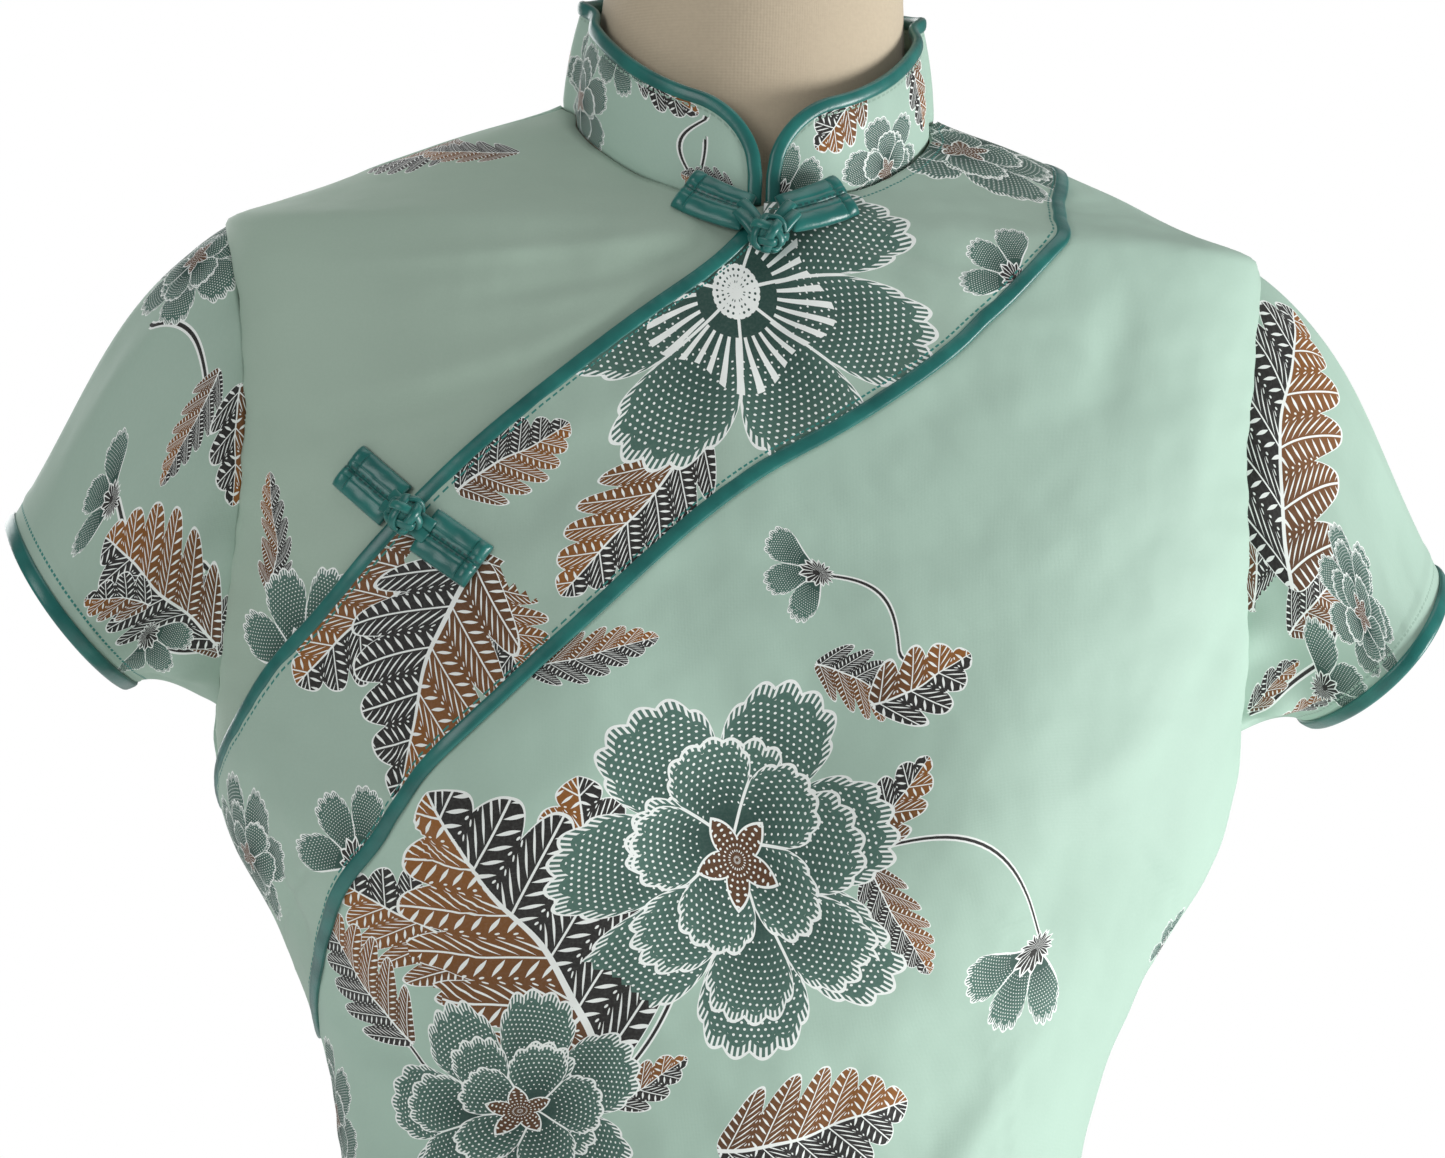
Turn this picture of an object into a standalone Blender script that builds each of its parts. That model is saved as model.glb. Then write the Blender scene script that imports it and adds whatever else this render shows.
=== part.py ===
"""A knee-length cheongsam worn by a limbless dress form on a pole and a round base.

Metres, +Z up. The front faces -Y and the origin is on the floor under the pole.
A place on the worn cloth is an angle round the body, 0 at the front and 90 over
the +X side seam, and a level, which is the height of that place's ring at the side seam.
"""

import math

import bmesh
import bpy
import numpy as np
from mathutils import Vector

# Driving sizes of the cloth
CLOTH = 0.0012
SEAM_GAP = 0.0004
LIFT = 0.0005
COLLAR_CLOTH = 0.0020
BINDING_WIDTH = 0.0052
BINDING_HEIGHT = 0.0026

# Driving levels
HEM_LEVEL = 0.42
SLIT_TOP = 0.64
RING_LEVEL = 1.16
UNDERARM = 1.176
SHOULDER_TIP = 1.352
NECK_LEVEL = 1.400
NECK_FRONT_DROP = 0.039
NECK_BACK_RISE = 0.012

# The armhole, half its opening as an angle, and how square its ends are
ARMHOLE_HALF_ANGLE = 17.0
ARMHOLE_MIDDLE = (UNDERARM + SHOULDER_TIP) / 2
ARMHOLE_HALF_HEIGHT = (SHOULDER_TIP - UNDERARM) / 2

# The dress form
FORM_BOTTOM = 0.74
NECK_TOP = 1.495
POLE_RADIUS = 0.016
BASE_RADIUS = 0.215
BASE_THICKNESS = 0.012

# Worn cloth in level rings: height, half width, depth in front, depth behind, squareness
SECTION_COLUMNS = ("height", "half_width", "front", "back", "squareness")
SECTIONS = (
    (0.420, 0.1880, 0.1120, 0.1180, 2.2),
    (0.620, 0.1920, 0.1220, 0.1300, 2.3),
    (0.800, 0.1860, 0.1220, 0.1360, 2.3),
    (0.900, 0.1660, 0.1120, 0.1220, 2.2),
    (0.960, 0.1450, 0.1030, 0.1040, 2.2),
    (1.000, 0.1345, 0.0990, 0.0940, 2.2),
    (1.030, 0.1375, 0.1010, 0.0920, 2.2),
    (1.055, 0.1435, 0.1060, 0.0940, 2.2),
    (1.080, 0.1520, 0.1120, 0.0970, 2.3),
    (1.100, 0.1620, 0.1170, 0.1000, 2.3),
    (1.126, 0.1770, 0.1230, 0.1030, 2.4),
    (1.150, 0.1850, 0.1260, 0.1050, 2.5),
    (1.176, 0.1875, 0.1255, 0.1070, 2.6),
    (1.210, 0.1885, 0.1210, 0.1090, 2.8),
    (1.260, 0.1890, 0.1100, 0.1100, 3.0),
    (1.300, 0.1895, 0.0990, 0.1090, 3.0),
    (1.335, 0.1905, 0.0870, 0.1050, 2.9),
    (1.352, 0.1900, 0.0800, 0.1010, 2.6),
    (1.361, 0.1700, 0.0715, 0.0985, 2.2),
    (1.370, 0.1480, 0.0600, 0.0960, 2.0),
    (1.380, 0.1240, 0.0465, 0.0930, 2.0),
    (1.390, 0.0980, 0.0320, 0.0900, 2.0),
    (1.400, 0.0690, 0.0140, 0.0860, 2.0),
    (1.412, 0.0520, 0.0100, 0.0620, 2.0),
)

# Soft mounds and hollows in the worn cloth: angle, height, spread as an angle, spread in height, depth
SWELL_COLUMNS = ("angle", "height", "angle_spread", "height_spread", "depth")
SWELLS = (
    (31.0, 1.150, 17.0, 0.046, 0.0110),
    (-31.0, 1.150, 17.0, 0.046, 0.0110),
    (0.0, 1.150, 13.0, 0.040, -0.0030),
    (180.0, 1.290, 40.0, 0.060, 0.0040),
    (150.0, 0.850, 24.0, 0.050, 0.0060),
    (-150.0, 0.850, 24.0, 0.050, 0.0060),
)

# Largest folds, each along a line on the cloth: angle and height at both ends, half width, depth
FOLD_COLUMNS = ("angle_a", "height_a", "angle_b", "height_b", "half_width", "depth")
FOLDS = (
    (-58.0, 1.215, -50.0, 1.105, 0.013, -0.0042),
    (-45.0, 1.205, -36.0, 1.120, 0.012, 0.0024),
    (-66.0, 1.070, -26.0, 1.020, 0.010, -0.0034),
    (-58.0, 1.045, -18.0, 0.990, 0.011, 0.0022),
    (57.0, 1.185, 60.0, 1.080, 0.012, -0.0030),
    (44.0, 1.110, 36.0, 1.030, 0.014, -0.0020),
    (-24.0, 1.335, -58.0, 1.318, 0.008, 0.0018),
    (28.0, 1.330, 60.0, 1.312, 0.009, -0.0016),
    (150.0, 1.050, 118.0, 1.010, 0.012, -0.0026),
    (-150.0, 1.055, -116.0, 1.015, 0.012, -0.0026),
    (128.0, 1.230, 146.0, 1.130, 0.014, -0.0030),
    (-128.0, 1.225, -147.0, 1.125, 0.014, -0.0030),
)

# The two edges of the overlapping band, from the neck or the left shoulder to the right side seam
EDGE_COLUMNS = ("angle", "level")
UPPER_EDGE = (
    (0.0, 1.3960),
    (-10.5, 1.3734),
    (-18.4, 1.3590),
    (-25.2, 1.3447),
    (-35.7, 1.3154),
    (-46.5, 1.2744),
    (-55.3, 1.2276),
    (-61.3, 1.2056),
    (-72.1, 1.1701),
    (-81.3, 1.1530),
    (-89.9, 1.1390),
)
LOWER_EDGE = (
    (89.9, 1.3822),
    (76.9, 1.3810),
    (60.0, 1.3715),
    (52.3, 1.3640),
    (43.9, 1.3470),
    (34.5, 1.3315),
    (16.0, 1.3080),
    (-0.7, 1.2876),
    (-14.1, 1.2610),
    (-31.6, 1.2062),
    (-41.6, 1.1669),
    (-54.0, 1.1315),
    (-74.0, 1.0827),
    (-89.9, 1.0560),
)

# The front column where the hidden chest panel ends, and the angle where the band starts to follow the neck
FACING_COLUMN = 13
NECK_CORNER = 2.5

# How far the form stands inside the cloth: level, at the sides, in front and behind
EASE_COLUMNS = ("level", "side", "middle")
EASES = (
    (0.740, 0.0150, 0.0120),
    (0.850, 0.0100, 0.0080),
    (0.950, 0.0070, 0.0060),
    (1.000, 0.0050, 0.0050),
    (1.080, 0.0080, 0.0100),
    (1.130, 0.0140, 0.0080),
    (1.200, 0.0160, 0.0060),
    (1.300, 0.0120, 0.0050),
    (1.345, 0.0040, 0.0035),
    (1.352, 0.0006, 0.0030),
    (1.400, 0.0006, 0.0030),
)

# Sleeve, in the plane of the front view: the hem's middle, half its slant, half its depth
HEM_MIDDLE = (0.2406, 1.2130)
HEM_SLANT = (0.0228, 0.0300)
HEM_DEPTH = 0.052
HEM_BULGE = 0.003
START_LEAN = ((0.85, -0.53), (0.92, 0.39))
END_LEAN = ((0.50, -0.87), (0.90, -0.43))

# Collar: height in front and behind, and how far its top leans in
COLLAR_FRONT = 0.037
COLLAR_BACK = 0.043
COLLAR_LEAN = 0.0065
COLLAR_LEAN_FRONT = 0.004
COLLAR_HALF_GAP = 4.4
COLLAR_EDGE = 0.0046
COLLAR_CORNER = 17.0

# Knotted button closures
TAB_WIDTH = 0.0165
TAB_HEIGHT = 0.0028
KNOT_RADIUS = 0.0060

COLOURS = {
    "cotton": ((0.42, 0.60, 0.50, 1.0), 0.75, 0.0),
    "printed cotton": ((0.36, 0.52, 0.44, 1.0), 0.75, 0.0),
    "satin": ((0.02, 0.24, 0.21, 1.0), 0.40, 0.0),
    "linen": ((0.60, 0.53, 0.41, 1.0), 0.85, 0.0),
    "steel": ((0.55, 0.55, 0.56, 1.0), 0.30, 1.0),
    "wood": ((0.36, 0.22, 0.12, 1.0), 0.50, 0.0),
}


def smooth_columns(rows, at):
    """Reads every column after the first of a table, at the given values of the first, with no overshoot."""
    rows = np.array(rows, float)
    if rows[0, 0] > rows[-1, 0]:
        rows = rows[::-1]
    x, y = rows[:, 0], rows[:, 1:]
    step = np.diff(x)
    slope = np.diff(y, axis=0) / step[:, None]
    tangent = np.zeros_like(y)
    rising = slope[:-1] * slope[1:] > 0
    mean = 2 * slope[:-1] * slope[1:] / np.where(rising, slope[:-1] + slope[1:], 1)
    tangent[1:-1] = np.where(rising, mean, 0)
    tangent[0], tangent[-1] = slope[0], slope[-1]
    at = np.clip(np.asarray(at, float), x[0], x[-1])
    i = np.clip(np.searchsorted(x, at) - 1, 0, len(step) - 1)
    t = ((at - x[i]) / step[i])[..., None]
    h = step[i][..., None]
    return (
        (1 + 2 * t) * (1 - t) ** 2 * y[i]
        + t * (1 - t) ** 2 * h * tangent[i]
        + t * t * (3 - 2 * t) * y[i + 1]
        + t * t * (t - 1) * h * tangent[i + 1]
    )


def turn_between(a, b):
    """The signed angle from b to a, in degrees, taken the short way round."""
    return (a - b + 180.0) % 360.0 - 180.0


def neck_height(angle):
    """Height of the neckline at an angle round the body."""
    c = np.cos(np.radians(angle))
    front = NECK_LEVEL - NECK_FRONT_DROP * np.abs(c) ** 1.3
    behind = NECK_LEVEL + NECK_BACK_RISE * np.abs(c) ** 1.5
    return np.where(c > 0, front, behind)


def height_of(angle, level):
    """Height of a place on the cloth: rings are level up to the bust and tilt into the neckline above it."""
    share = (level - RING_LEVEL) / (NECK_LEVEL - RING_LEVEL)
    return np.where(level <= RING_LEVEL, level, RING_LEVEL + (neck_height(angle) - RING_LEVEL) * share)


def level_of(angle, height):
    """The level of a place whose angle and height are known."""
    share = (height - RING_LEVEL) / (neck_height(angle) - RING_LEVEL)
    return np.where(height <= RING_LEVEL, height, RING_LEVEL + (NECK_LEVEL - RING_LEVEL) * share)


def reach(angle, height):
    """How far the cloth lies from the body's axis."""
    half_width, front, back, square = np.moveaxis(smooth_columns(SECTIONS, height), -1, 0)
    s, c = np.sin(np.radians(angle)), np.cos(np.radians(angle))
    depth = np.where(c > 0, front, back)
    out = ((np.abs(s) / half_width) ** square + (np.abs(c) / depth) ** square) ** (-1 / square)
    for a, z, a_spread, z_spread, amount in SWELLS:
        away = (turn_between(angle, a) / a_spread) ** 2 + ((height - z) / z_spread) ** 2
        out = out + amount * np.exp(-away)
    for a0, z0, a1, z1, half, amount in FOLDS:
        x, z = np.radians(turn_between(angle, a0)) * 0.13, height - z0
        dx, dz = math.radians(a1 - a0) * 0.13, z1 - z0
        along = np.clip((x * dx + z * dz) / (dx * dx + dz * dz), 0, 1)
        off = np.hypot(x - along * dx, z - along * dz) / half
        out = out + amount * np.exp(-off * off) * np.sin(math.pi * (0.12 + 0.76 * along))
    return out


def on_cloth(angle, level, lift=0.0):
    """The point of the worn cloth at an angle and level, moved out along the cloth's normal by lift."""
    angle, level = np.broadcast_arrays(np.asarray(angle, float), np.asarray(level, float))

    def bare(a, h):
        r = reach(a, h)
        return np.stack([r * np.sin(np.radians(a)), -r * np.cos(np.radians(a)), h], -1)

    height = height_of(angle, level)
    small = 0.0008
    across = bare(angle + 0.6, height) - bare(angle - 0.6, height)
    up = bare(angle, height + small) - bare(angle, height - small)
    out = np.cross(across, up)
    out /= np.linalg.norm(out, axis=-1, keepdims=True)
    return bare(angle, height) + out * np.asarray(lift)[..., None]


def cloth_normal(angle, level):
    """Outward direction of the cloth."""
    return (on_cloth(angle, level, 0.001) - on_cloth(angle, level, 0.0)) * 1000.0


def armhole_turn(level):
    """Half the armhole's opening at a level, in degrees, and 0 above and below it."""
    off = (np.asarray(level, float) - ARMHOLE_MIDDLE) / ARMHOLE_HALF_HEIGHT
    return ARMHOLE_HALF_ANGLE * np.sqrt(np.clip(1 - off * off, 0, 1))


def seam_angle(level):
    """How far a front or back panel stops short of the side: the seam, the armhole or the slit."""
    gap = 0.13 + 2.0 * np.clip((SLIT_TOP - level) / (SLIT_TOP - HEM_LEVEL), 0, 1) ** 1.3
    return np.maximum(gap, armhole_turn(level))


def edge_level(edge, angle):
    """The level at which one of the band's edges crosses an angle."""
    return smooth_columns(edge, angle)[..., 0]


def base_split(angle):
    """Level of the hidden edge under the band, where the two front panels meet."""
    upper = edge_level(UPPER_EDGE, np.minimum(angle, 0.0))
    return upper * 0.62 + edge_level(LOWER_EDGE, angle) * 0.38


def moved_edge(edge, start, end, inward, at):
    """Levels, at the given angles, of a band edge moved along the cloth, upwards when the distance is positive."""
    angles = np.linspace(start, end, 240)
    path = on_cloth(angles, edge_level(edge, angles), 0.0)
    ahead = np.gradient(path, axis=0)
    across = np.cross(ahead, cloth_normal(angles, edge_level(edge, angles)))
    across /= np.linalg.norm(across, axis=1, keepdims=True)
    across *= np.sign(across[:, 2])[:, None]
    moved = path + across * inward
    new_angles = np.degrees(np.arctan2(moved[:, 0], -moved[:, 1]))
    order = np.argsort(new_angles)
    return np.interp(at, new_angles[order], level_of(new_angles, moved[:, 2])[order])


def body_columns():
    """Angles of the panels' columns, from the right side over the front to the left, closer at the sides."""
    t = np.linspace(-1, 1, 21)
    return 90.0 * (0.6 * t + 0.4 * np.sin(math.pi * t / 2))


def body_levels():
    """Levels of the panels' rows, from hem to neck, closer together where the cloth bends."""
    low = (HEM_LEVEL, 0.53, SLIT_TOP, 0.73, 0.80, 0.87, 0.93, 0.975, 1.0, 1.03, 1.055, 1.08, 1.102, 1.126, 1.15)
    armhole = ARMHOLE_MIDDLE - ARMHOLE_HALF_HEIGHT * np.cos(np.radians(np.arange(0, 181, 20)))
    shoulder = (1.361, 1.370, 1.380, 1.390, NECK_LEVEL)
    return np.concatenate([low, armhole, shoulder])


class Facets:
    """One side of the worn cloth as flat triangles, so pieces laid over each other keep clear everywhere."""

    def __init__(self, angles, levels):
        self.angles = np.asarray(angles, float)
        self.levels = np.asarray(levels, float)
        grid = np.meshgrid(self.angles, self.levels)
        self.points = on_cloth(*grid, 0.0)
        self.normals = cloth_normal(*grid)

    def at(self, angle, level, lift=0.0):
        """The place on the facets at an angle and level, moved out by lift."""
        angle, level = np.asarray(angle, float), np.asarray(level, float)
        j = np.clip(np.searchsorted(self.angles, angle, "right") - 1, 0, len(self.angles) - 2)
        i = np.clip(np.searchsorted(self.levels, level, "right") - 1, 0, len(self.levels) - 2)
        s = ((angle - self.angles[j]) / (self.angles[j + 1] - self.angles[j]))[..., None]
        t = ((level - self.levels[i]) / (self.levels[i + 1] - self.levels[i]))[..., None]
        skin = self.points + self.normals * lift
        a, b, c, d = skin[i, j], skin[i, j + 1], skin[i + 1, j], skin[i + 1, j + 1]
        return np.where(s >= t, a + s * (b - a) + t * (d - b), a + t * (c - a) + s * (d - c))

    def cut(self, bounds):
        """Flat shapes in angle and level that are left of the facets inside every bound."""
        shapes = []
        for i in range(len(self.levels) - 1):
            for j in range(len(self.angles) - 1):
                a0, a1 = self.angles[j], self.angles[j + 1]
                l0, l1 = self.levels[i], self.levels[i + 1]
                halves = [[(a0, l0), (a1, l0), (a1, l1)], [(a0, l0), (a1, l1), (a0, l1)]]
                for shape in halves:
                    for bound in bounds:
                        shape = clip(shape, bound.side(i, j))
                    if len(shape) > 2:
                        shapes.append(shape)
        return shapes


def clip(shape, side):
    """The part of a flat convex shape where the linear function side is not above zero."""
    kept = []
    for start, end in zip(shape, shape[1:] + shape[:1]):
        f0, f1 = side(*start), side(*end)
        if f0 <= 0:
            kept.append(start)
        if (f0 < 0 < f1) or (f1 < 0 < f0):
            t = f0 / (f0 - f1)
            kept.append((start[0] + (end[0] - start[0]) * t, start[1] + (end[1] - start[1]) * t))
    return kept


class LevelBound:
    """Keeps what is below a level given at each column, or above it when sign is -1."""

    def __init__(self, facets, values, sign):
        self.facets, self.values, self.sign = facets, np.broadcast_to(values, facets.angles.shape), sign

    def side(self, i, j):
        a0, a1 = self.facets.angles[j : j + 2]
        v0, v1 = self.values[j : j + 2]
        if not np.isfinite(v0 + v1):
            return lambda angle, level: -1.0
        return lambda angle, level: self.sign * (level - v0 - (v1 - v0) * (angle - a0) / (a1 - a0))


class AngleBound:
    """Keeps what is below an angle given at each row, or above it when sign is -1."""

    def __init__(self, facets, values, sign):
        self.facets, self.values, self.sign = facets, np.broadcast_to(values, facets.levels.shape), sign

    def side(self, i, j):
        l0, l1 = self.facets.levels[i : i + 2]
        v0, v1 = self.values[i : i + 2]
        return lambda angle, level: self.sign * (angle - v0 - (v1 - v0) * (level - l0) / (l1 - l0))


def cloth_piece(name, facets, bounds, finish_name, parent, lift=0.0, thickness=CLOTH):
    """A cut piece of cloth with a wall, from the part of the facets inside the bounds."""
    flat = bmesh.new()
    per_degree = 0.0022
    for shape in facets.cut(bounds):
        flat.faces.new([flat.verts.new((angle * per_degree, level, 0)) for angle, level in shape])
    bmesh.ops.remove_doubles(flat, verts=flat.verts, dist=2e-4)
    bmesh.ops.dissolve_degenerate(flat, edges=flat.edges, dist=1e-5)
    places = np.array([(v.co.x / per_degree, v.co.y) for v in flat.verts])
    flat.verts.index_update()
    bm = bmesh.new()
    skins = []
    for out in (lift, lift - thickness):
        skins.append([bm.verts.new(p) for p in facets.at(places[:, 0], places[:, 1], out)])
    for face in flat.faces:
        corners = [v.index for v in face.verts]
        bm.faces.new([skins[0][k] for k in corners])
        bm.faces.new([skins[1][k] for k in reversed(corners)])
    for edge in flat.edges:
        if edge.is_boundary:
            a, b = (v.index for v in edge.verts)
            bm.faces.new((skins[0][a], skins[0][b], skins[1][b], skins[1][a]))
    flat.free()
    return finish(name, bm, finish_name, parent)


def material(name):
    """The finish of that name."""
    found = bpy.data.materials.get(name)
    if found:
        return found
    colour, roughness, metallic = COLOURS[name]
    made = bpy.data.materials.new(name)
    made.use_nodes = True
    shader = made.node_tree.nodes["Principled BSDF"]
    shader.inputs["Base Color"].default_value = colour
    shader.inputs["Roughness"].default_value = roughness
    shader.inputs["Metallic"].default_value = metallic
    made.diffuse_color = colour
    return made


def finish(name, mesh_source, finish_name, parent=None, sharp=50.0):
    """Turns a bmesh into a named object with its finish, shaded smooth."""
    bmesh.ops.recalc_face_normals(mesh_source, faces=mesh_source.faces)
    mesh = bpy.data.meshes.new(name)
    mesh_source.to_mesh(mesh)
    mesh_source.free()
    mesh.shade_smooth()
    mesh.set_sharp_from_angle(angle=math.radians(sharp))
    made = bpy.data.objects.new(name, mesh)
    made.data.materials.append(material(finish_name))
    bpy.context.scene.collection.objects.link(made)
    if parent:
        made.parent = parent
    return made


def wall(outer, inner, closed=False):
    """A closed cloth wall between two grids of points, open at its rims or joined round when closed."""
    bm = bmesh.new()
    rows, columns = outer.shape[:2]
    skins = [[[bm.verts.new(p) for p in row] for row in grid] for grid in (outer, inner)]
    last = columns if closed else columns - 1
    for i in range(rows - 1):
        for j in range(last):
            k = (j + 1) % columns
            for skin in skins:
                bm.faces.new((skin[i][j], skin[i][k], skin[i + 1][k], skin[i + 1][j]))
    for i in (0, rows - 1):
        for j in range(last):
            k = (j + 1) % columns
            bm.faces.new((skins[0][i][j], skins[0][i][k], skins[1][i][k], skins[1][i][j]))
    if not closed:
        for i in range(rows - 1):
            for j in (0, columns - 1):
                bm.faces.new((skins[0][i][j], skins[0][i + 1][j], skins[1][i + 1][j], skins[1][i][j]))
    bmesh.ops.remove_doubles(bm, verts=bm.verts, dist=1e-6)
    bmesh.ops.dissolve_degenerate(bm, edges=bm.edges, dist=1e-6)
    return bm


def swept(path, sides, ups, half_width, height, closed=False, corners=8, squash=0.72):
    """A strip of rounded section along a path, standing on it by height."""
    bm = bmesh.new()
    rings = []
    for point, side, up in zip(path, sides, ups):
        ring = []
        for k in range(corners):
            t = 2 * math.pi * (k + 0.5) / corners
            wide = math.copysign(abs(math.cos(t)) ** squash, math.cos(t)) * half_width
            high = (1 + math.copysign(abs(math.sin(t)) ** squash, math.sin(t))) * height / 2
            ring.append(bm.verts.new(Vector(point) + Vector(side) * wide + Vector(up) * high))
        rings.append(ring)
    pairs = list(zip(rings, rings[1:])) + ([(rings[-1], rings[0])] if closed else [])
    for a, b in pairs:
        for k in range(corners):
            bm.faces.new((a[k], a[(k + 1) % corners], b[(k + 1) % corners], b[k]))
    if not closed:
        bm.faces.new(rings[0])
        bm.faces.new(list(reversed(rings[-1])))
    return bm


def frames_along(path, ups, closed=False):
    """The direction across a path at each of its points, square to it and to the given up direction."""
    path = np.asarray(path)
    if closed:
        ahead = np.roll(path, -1, axis=0) - np.roll(path, 1, axis=0)
    else:
        ahead = np.gradient(path, axis=0)
    across = np.cross(ahead, ups)
    return across / np.linalg.norm(across, axis=1, keepdims=True)


def side_bounds(facets, middle=0.0):
    """The bounds of a panel at its two side seams, armholes and slits."""
    half = 90.0 - seam_angle(facets.levels)
    return [AngleBound(facets, middle + half, 1), AngleBound(facets, middle - half, -1)]


def front_main(front, parent):
    """The large front panel, under the band from the left shoulder down to the right side seam."""
    facing = front.angles[FACING_COLUMN]
    split = np.where(front.angles <= facing + 0.01, base_split(front.angles), np.inf)
    bounds = side_bounds(front) + [LevelBound(front, split - SEAM_GAP, 1)]
    return cloth_piece("front_main", front, bounds, "printed cotton", parent)


def front_chest(front, parent):
    """The plain chest panel on the right side, from the neck and shoulder to the hidden edge."""
    facing = front.angles[FACING_COLUMN]
    bounds = side_bounds(front) + [
        LevelBound(front, base_split(front.angles) + SEAM_GAP, -1),
        AngleBound(front, facing - 0.4, 1),
    ]
    return cloth_piece("front_chest_right", front, bounds, "cotton", parent)


def band(front, parent):
    """The printed band over both front panels, with its two edges against the satin strips."""
    apart = BINDING_WIDTH / 2 + SEAM_GAP + 0.0002
    low = moved_edge(LOWER_EDGE, 89.8, -89.8, apart, front.angles)
    high = moved_edge(UPPER_EDGE, 2.0, -89.8, -apart, front.angles)
    high = np.where(front.angles > NECK_CORNER - 0.1, NECK_LEVEL - 0.0004, high)
    bounds = side_bounds(front) + [LevelBound(front, low, -1), LevelBound(front, high, 1)]
    return cloth_piece("lapel_band", front, bounds, "printed cotton", parent, lift=LIFT + CLOTH)


def edge_binding(name, front, edge, start, end, count, parent):
    """The satin strip that lies along one edge of the band."""
    angles = np.linspace(start, end, count)
    levels = np.interp(angles, front.angles, edge_level(edge, front.angles))
    path = front.at(angles, levels, LIFT)
    ups = cloth_normal(angles, levels)
    across = frames_along(path, ups)
    bm = swept(path, across, ups, BINDING_WIDTH / 2, BINDING_HEIGHT, corners=6)
    return finish(name, bm, "satin", parent)


def armhole_ring(side, front, back):
    """Points along one armhole's edge from the shoulder tip round the front, and how far round each is."""
    turn = np.arange(0, 360, 10.0)
    nodes = np.arange(0, 361, 20.0)
    level = ARMHOLE_MIDDLE + ARMHOLE_HALF_HEIGHT * np.cos(np.radians(nodes))
    open_by = ARMHOLE_HALF_ANGLE * np.sin(np.radians(nodes))
    level, open_by = np.interp(turn, nodes, level), np.interp(turn, nodes, open_by)
    ahead = front.at(side * (90.0 - open_by), level, -CLOTH / 2)
    behind = back.at(180.0 - side * (90.0 + open_by), level, -CLOTH / 2)
    return np.where((open_by >= 0)[:, None], ahead, behind), turn


def sleeve_points(side, turn, start, share):
    """A point of the sleeve's middle surface: share 0 at the armhole and 1 at the hem."""
    c, s = np.cos(np.radians(turn)), np.sin(np.radians(turn))
    hem_x = HEM_MIDDLE[0] + HEM_SLANT[0] * c + HEM_BULGE * 0.75 * s * s
    hem_z = HEM_MIDDLE[1] + HEM_SLANT[1] * c - HEM_BULGE * 0.65 * s * s
    hem = np.stack([side * hem_x, -HEM_DEPTH * s, hem_z], -1)

    def lean(pair):
        x = (pair[0][0] + pair[1][0]) / 2 + c * (pair[0][0] - pair[1][0]) / 2
        z = (pair[0][1] + pair[1][1]) / 2 + c * (pair[0][1] - pair[1][1]) / 2
        return np.stack([side * x, -0.10 * s, z], -1)

    run = np.linalg.norm(hem - start, axis=-1, keepdims=True)
    t = share
    return (
        (1 + 2 * t) * (1 - t) ** 2 * start
        + t * (1 - t) ** 2 * run * lean(START_LEAN)
        + t * t * (3 - 2 * t) * hem
        + t * t * (t - 1) * run * lean(END_LEAN)
    )


def sleeve_surface(side, body, shares):
    """Grids of the sleeve's middle points and outward directions, a row for each share."""
    start, turn = armhole_ring(side, *body)
    outward = np.array([side * 1.0, 0.0, 0.0])
    start = start + outward * 0.0010
    middle = start.mean(axis=0)
    inward = middle - start
    inward /= np.linalg.norm(inward, axis=1, keepdims=True)
    start = start + inward * 0.0006
    rows = np.array([sleeve_points(side, turn, start, t) for t in shares])
    around = np.roll(rows, -1, axis=1) - np.roll(rows, 1, axis=1)
    along = np.gradient(rows, axis=0)
    out = np.cross(along, around) * side
    out /= np.linalg.norm(out, axis=-1, keepdims=True)
    away = rows - rows.mean(axis=1, keepdims=True)
    out *= np.sign((out * away).sum(-1).mean())
    return rows, out


def sleeve(name, side, body, parent):
    """A short set-in sleeve, its hem a slanted ring."""
    rows, out = sleeve_surface(side, body, np.linspace(0, 1, 6))
    bm = wall(rows + out * CLOTH / 2, rows - out * CLOTH / 2, closed=True)
    return finish(name, bm, "printed cotton", parent)


def sleeve_binding(name, side, body, parent):
    """The satin strip round a sleeve's hem, just past its edge."""
    rows, out = sleeve_surface(side, body, np.linspace(0, 1, 21))
    path, ups = rows[-1], out[-1]
    ahead = rows[-1] - rows[-2]
    ahead /= np.linalg.norm(ahead, axis=1, keepdims=True)
    width = 0.0044
    path = path + ahead * (width / 2 + SEAM_GAP) - ups * BINDING_HEIGHT / 2
    across = frames_along(path, ups, closed=True)
    bm = swept(path, across, ups, width / 2, BINDING_HEIGHT, closed=True, corners=6)
    return finish(name, bm, "satin", parent)


def collar_rise(angle):
    """Full height of the collar at an angle."""
    c = np.cos(np.radians(angle))
    return COLLAR_BACK + (COLLAR_FRONT - COLLAR_BACK) * (1 + c) / 2


def collar_share(angle):
    """How much of its full height the collar has, less where its front corners are rounded."""
    off = np.clip(1 - (np.abs(turn_between(angle, 0.0)) - COLLAR_HALF_GAP) / COLLAR_CORNER, 0, 1)
    return 0.40 + 0.60 * np.sqrt(np.clip(1 - off * off, 0, 1))


def on_collar(angle, rise, lift=0.0):
    """A point of the collar's outer face, rise metres above the neckline seam, moved out by lift."""
    angle, rise = np.broadcast_arrays(np.asarray(angle, float), np.asarray(rise, float))
    c = np.cos(np.radians(angle))
    foot = on_cloth(angle, NECK_LEVEL, 0.0)
    out = np.stack([np.sin(np.radians(angle)), -c, np.zeros_like(c)], -1)
    lean = COLLAR_LEAN + (COLLAR_LEAN_FRONT - COLLAR_LEAN) * np.clip(c, 0, 1)
    share = rise / 0.04
    swell = 0.0012 * np.sin(np.pi * np.clip(share, 0, 1))
    up = np.array([0.0, 0.0, 1.0]) * (rise + SEAM_GAP)[..., None]
    return foot + up + out * (swell - lean * share + lift)[..., None]


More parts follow.
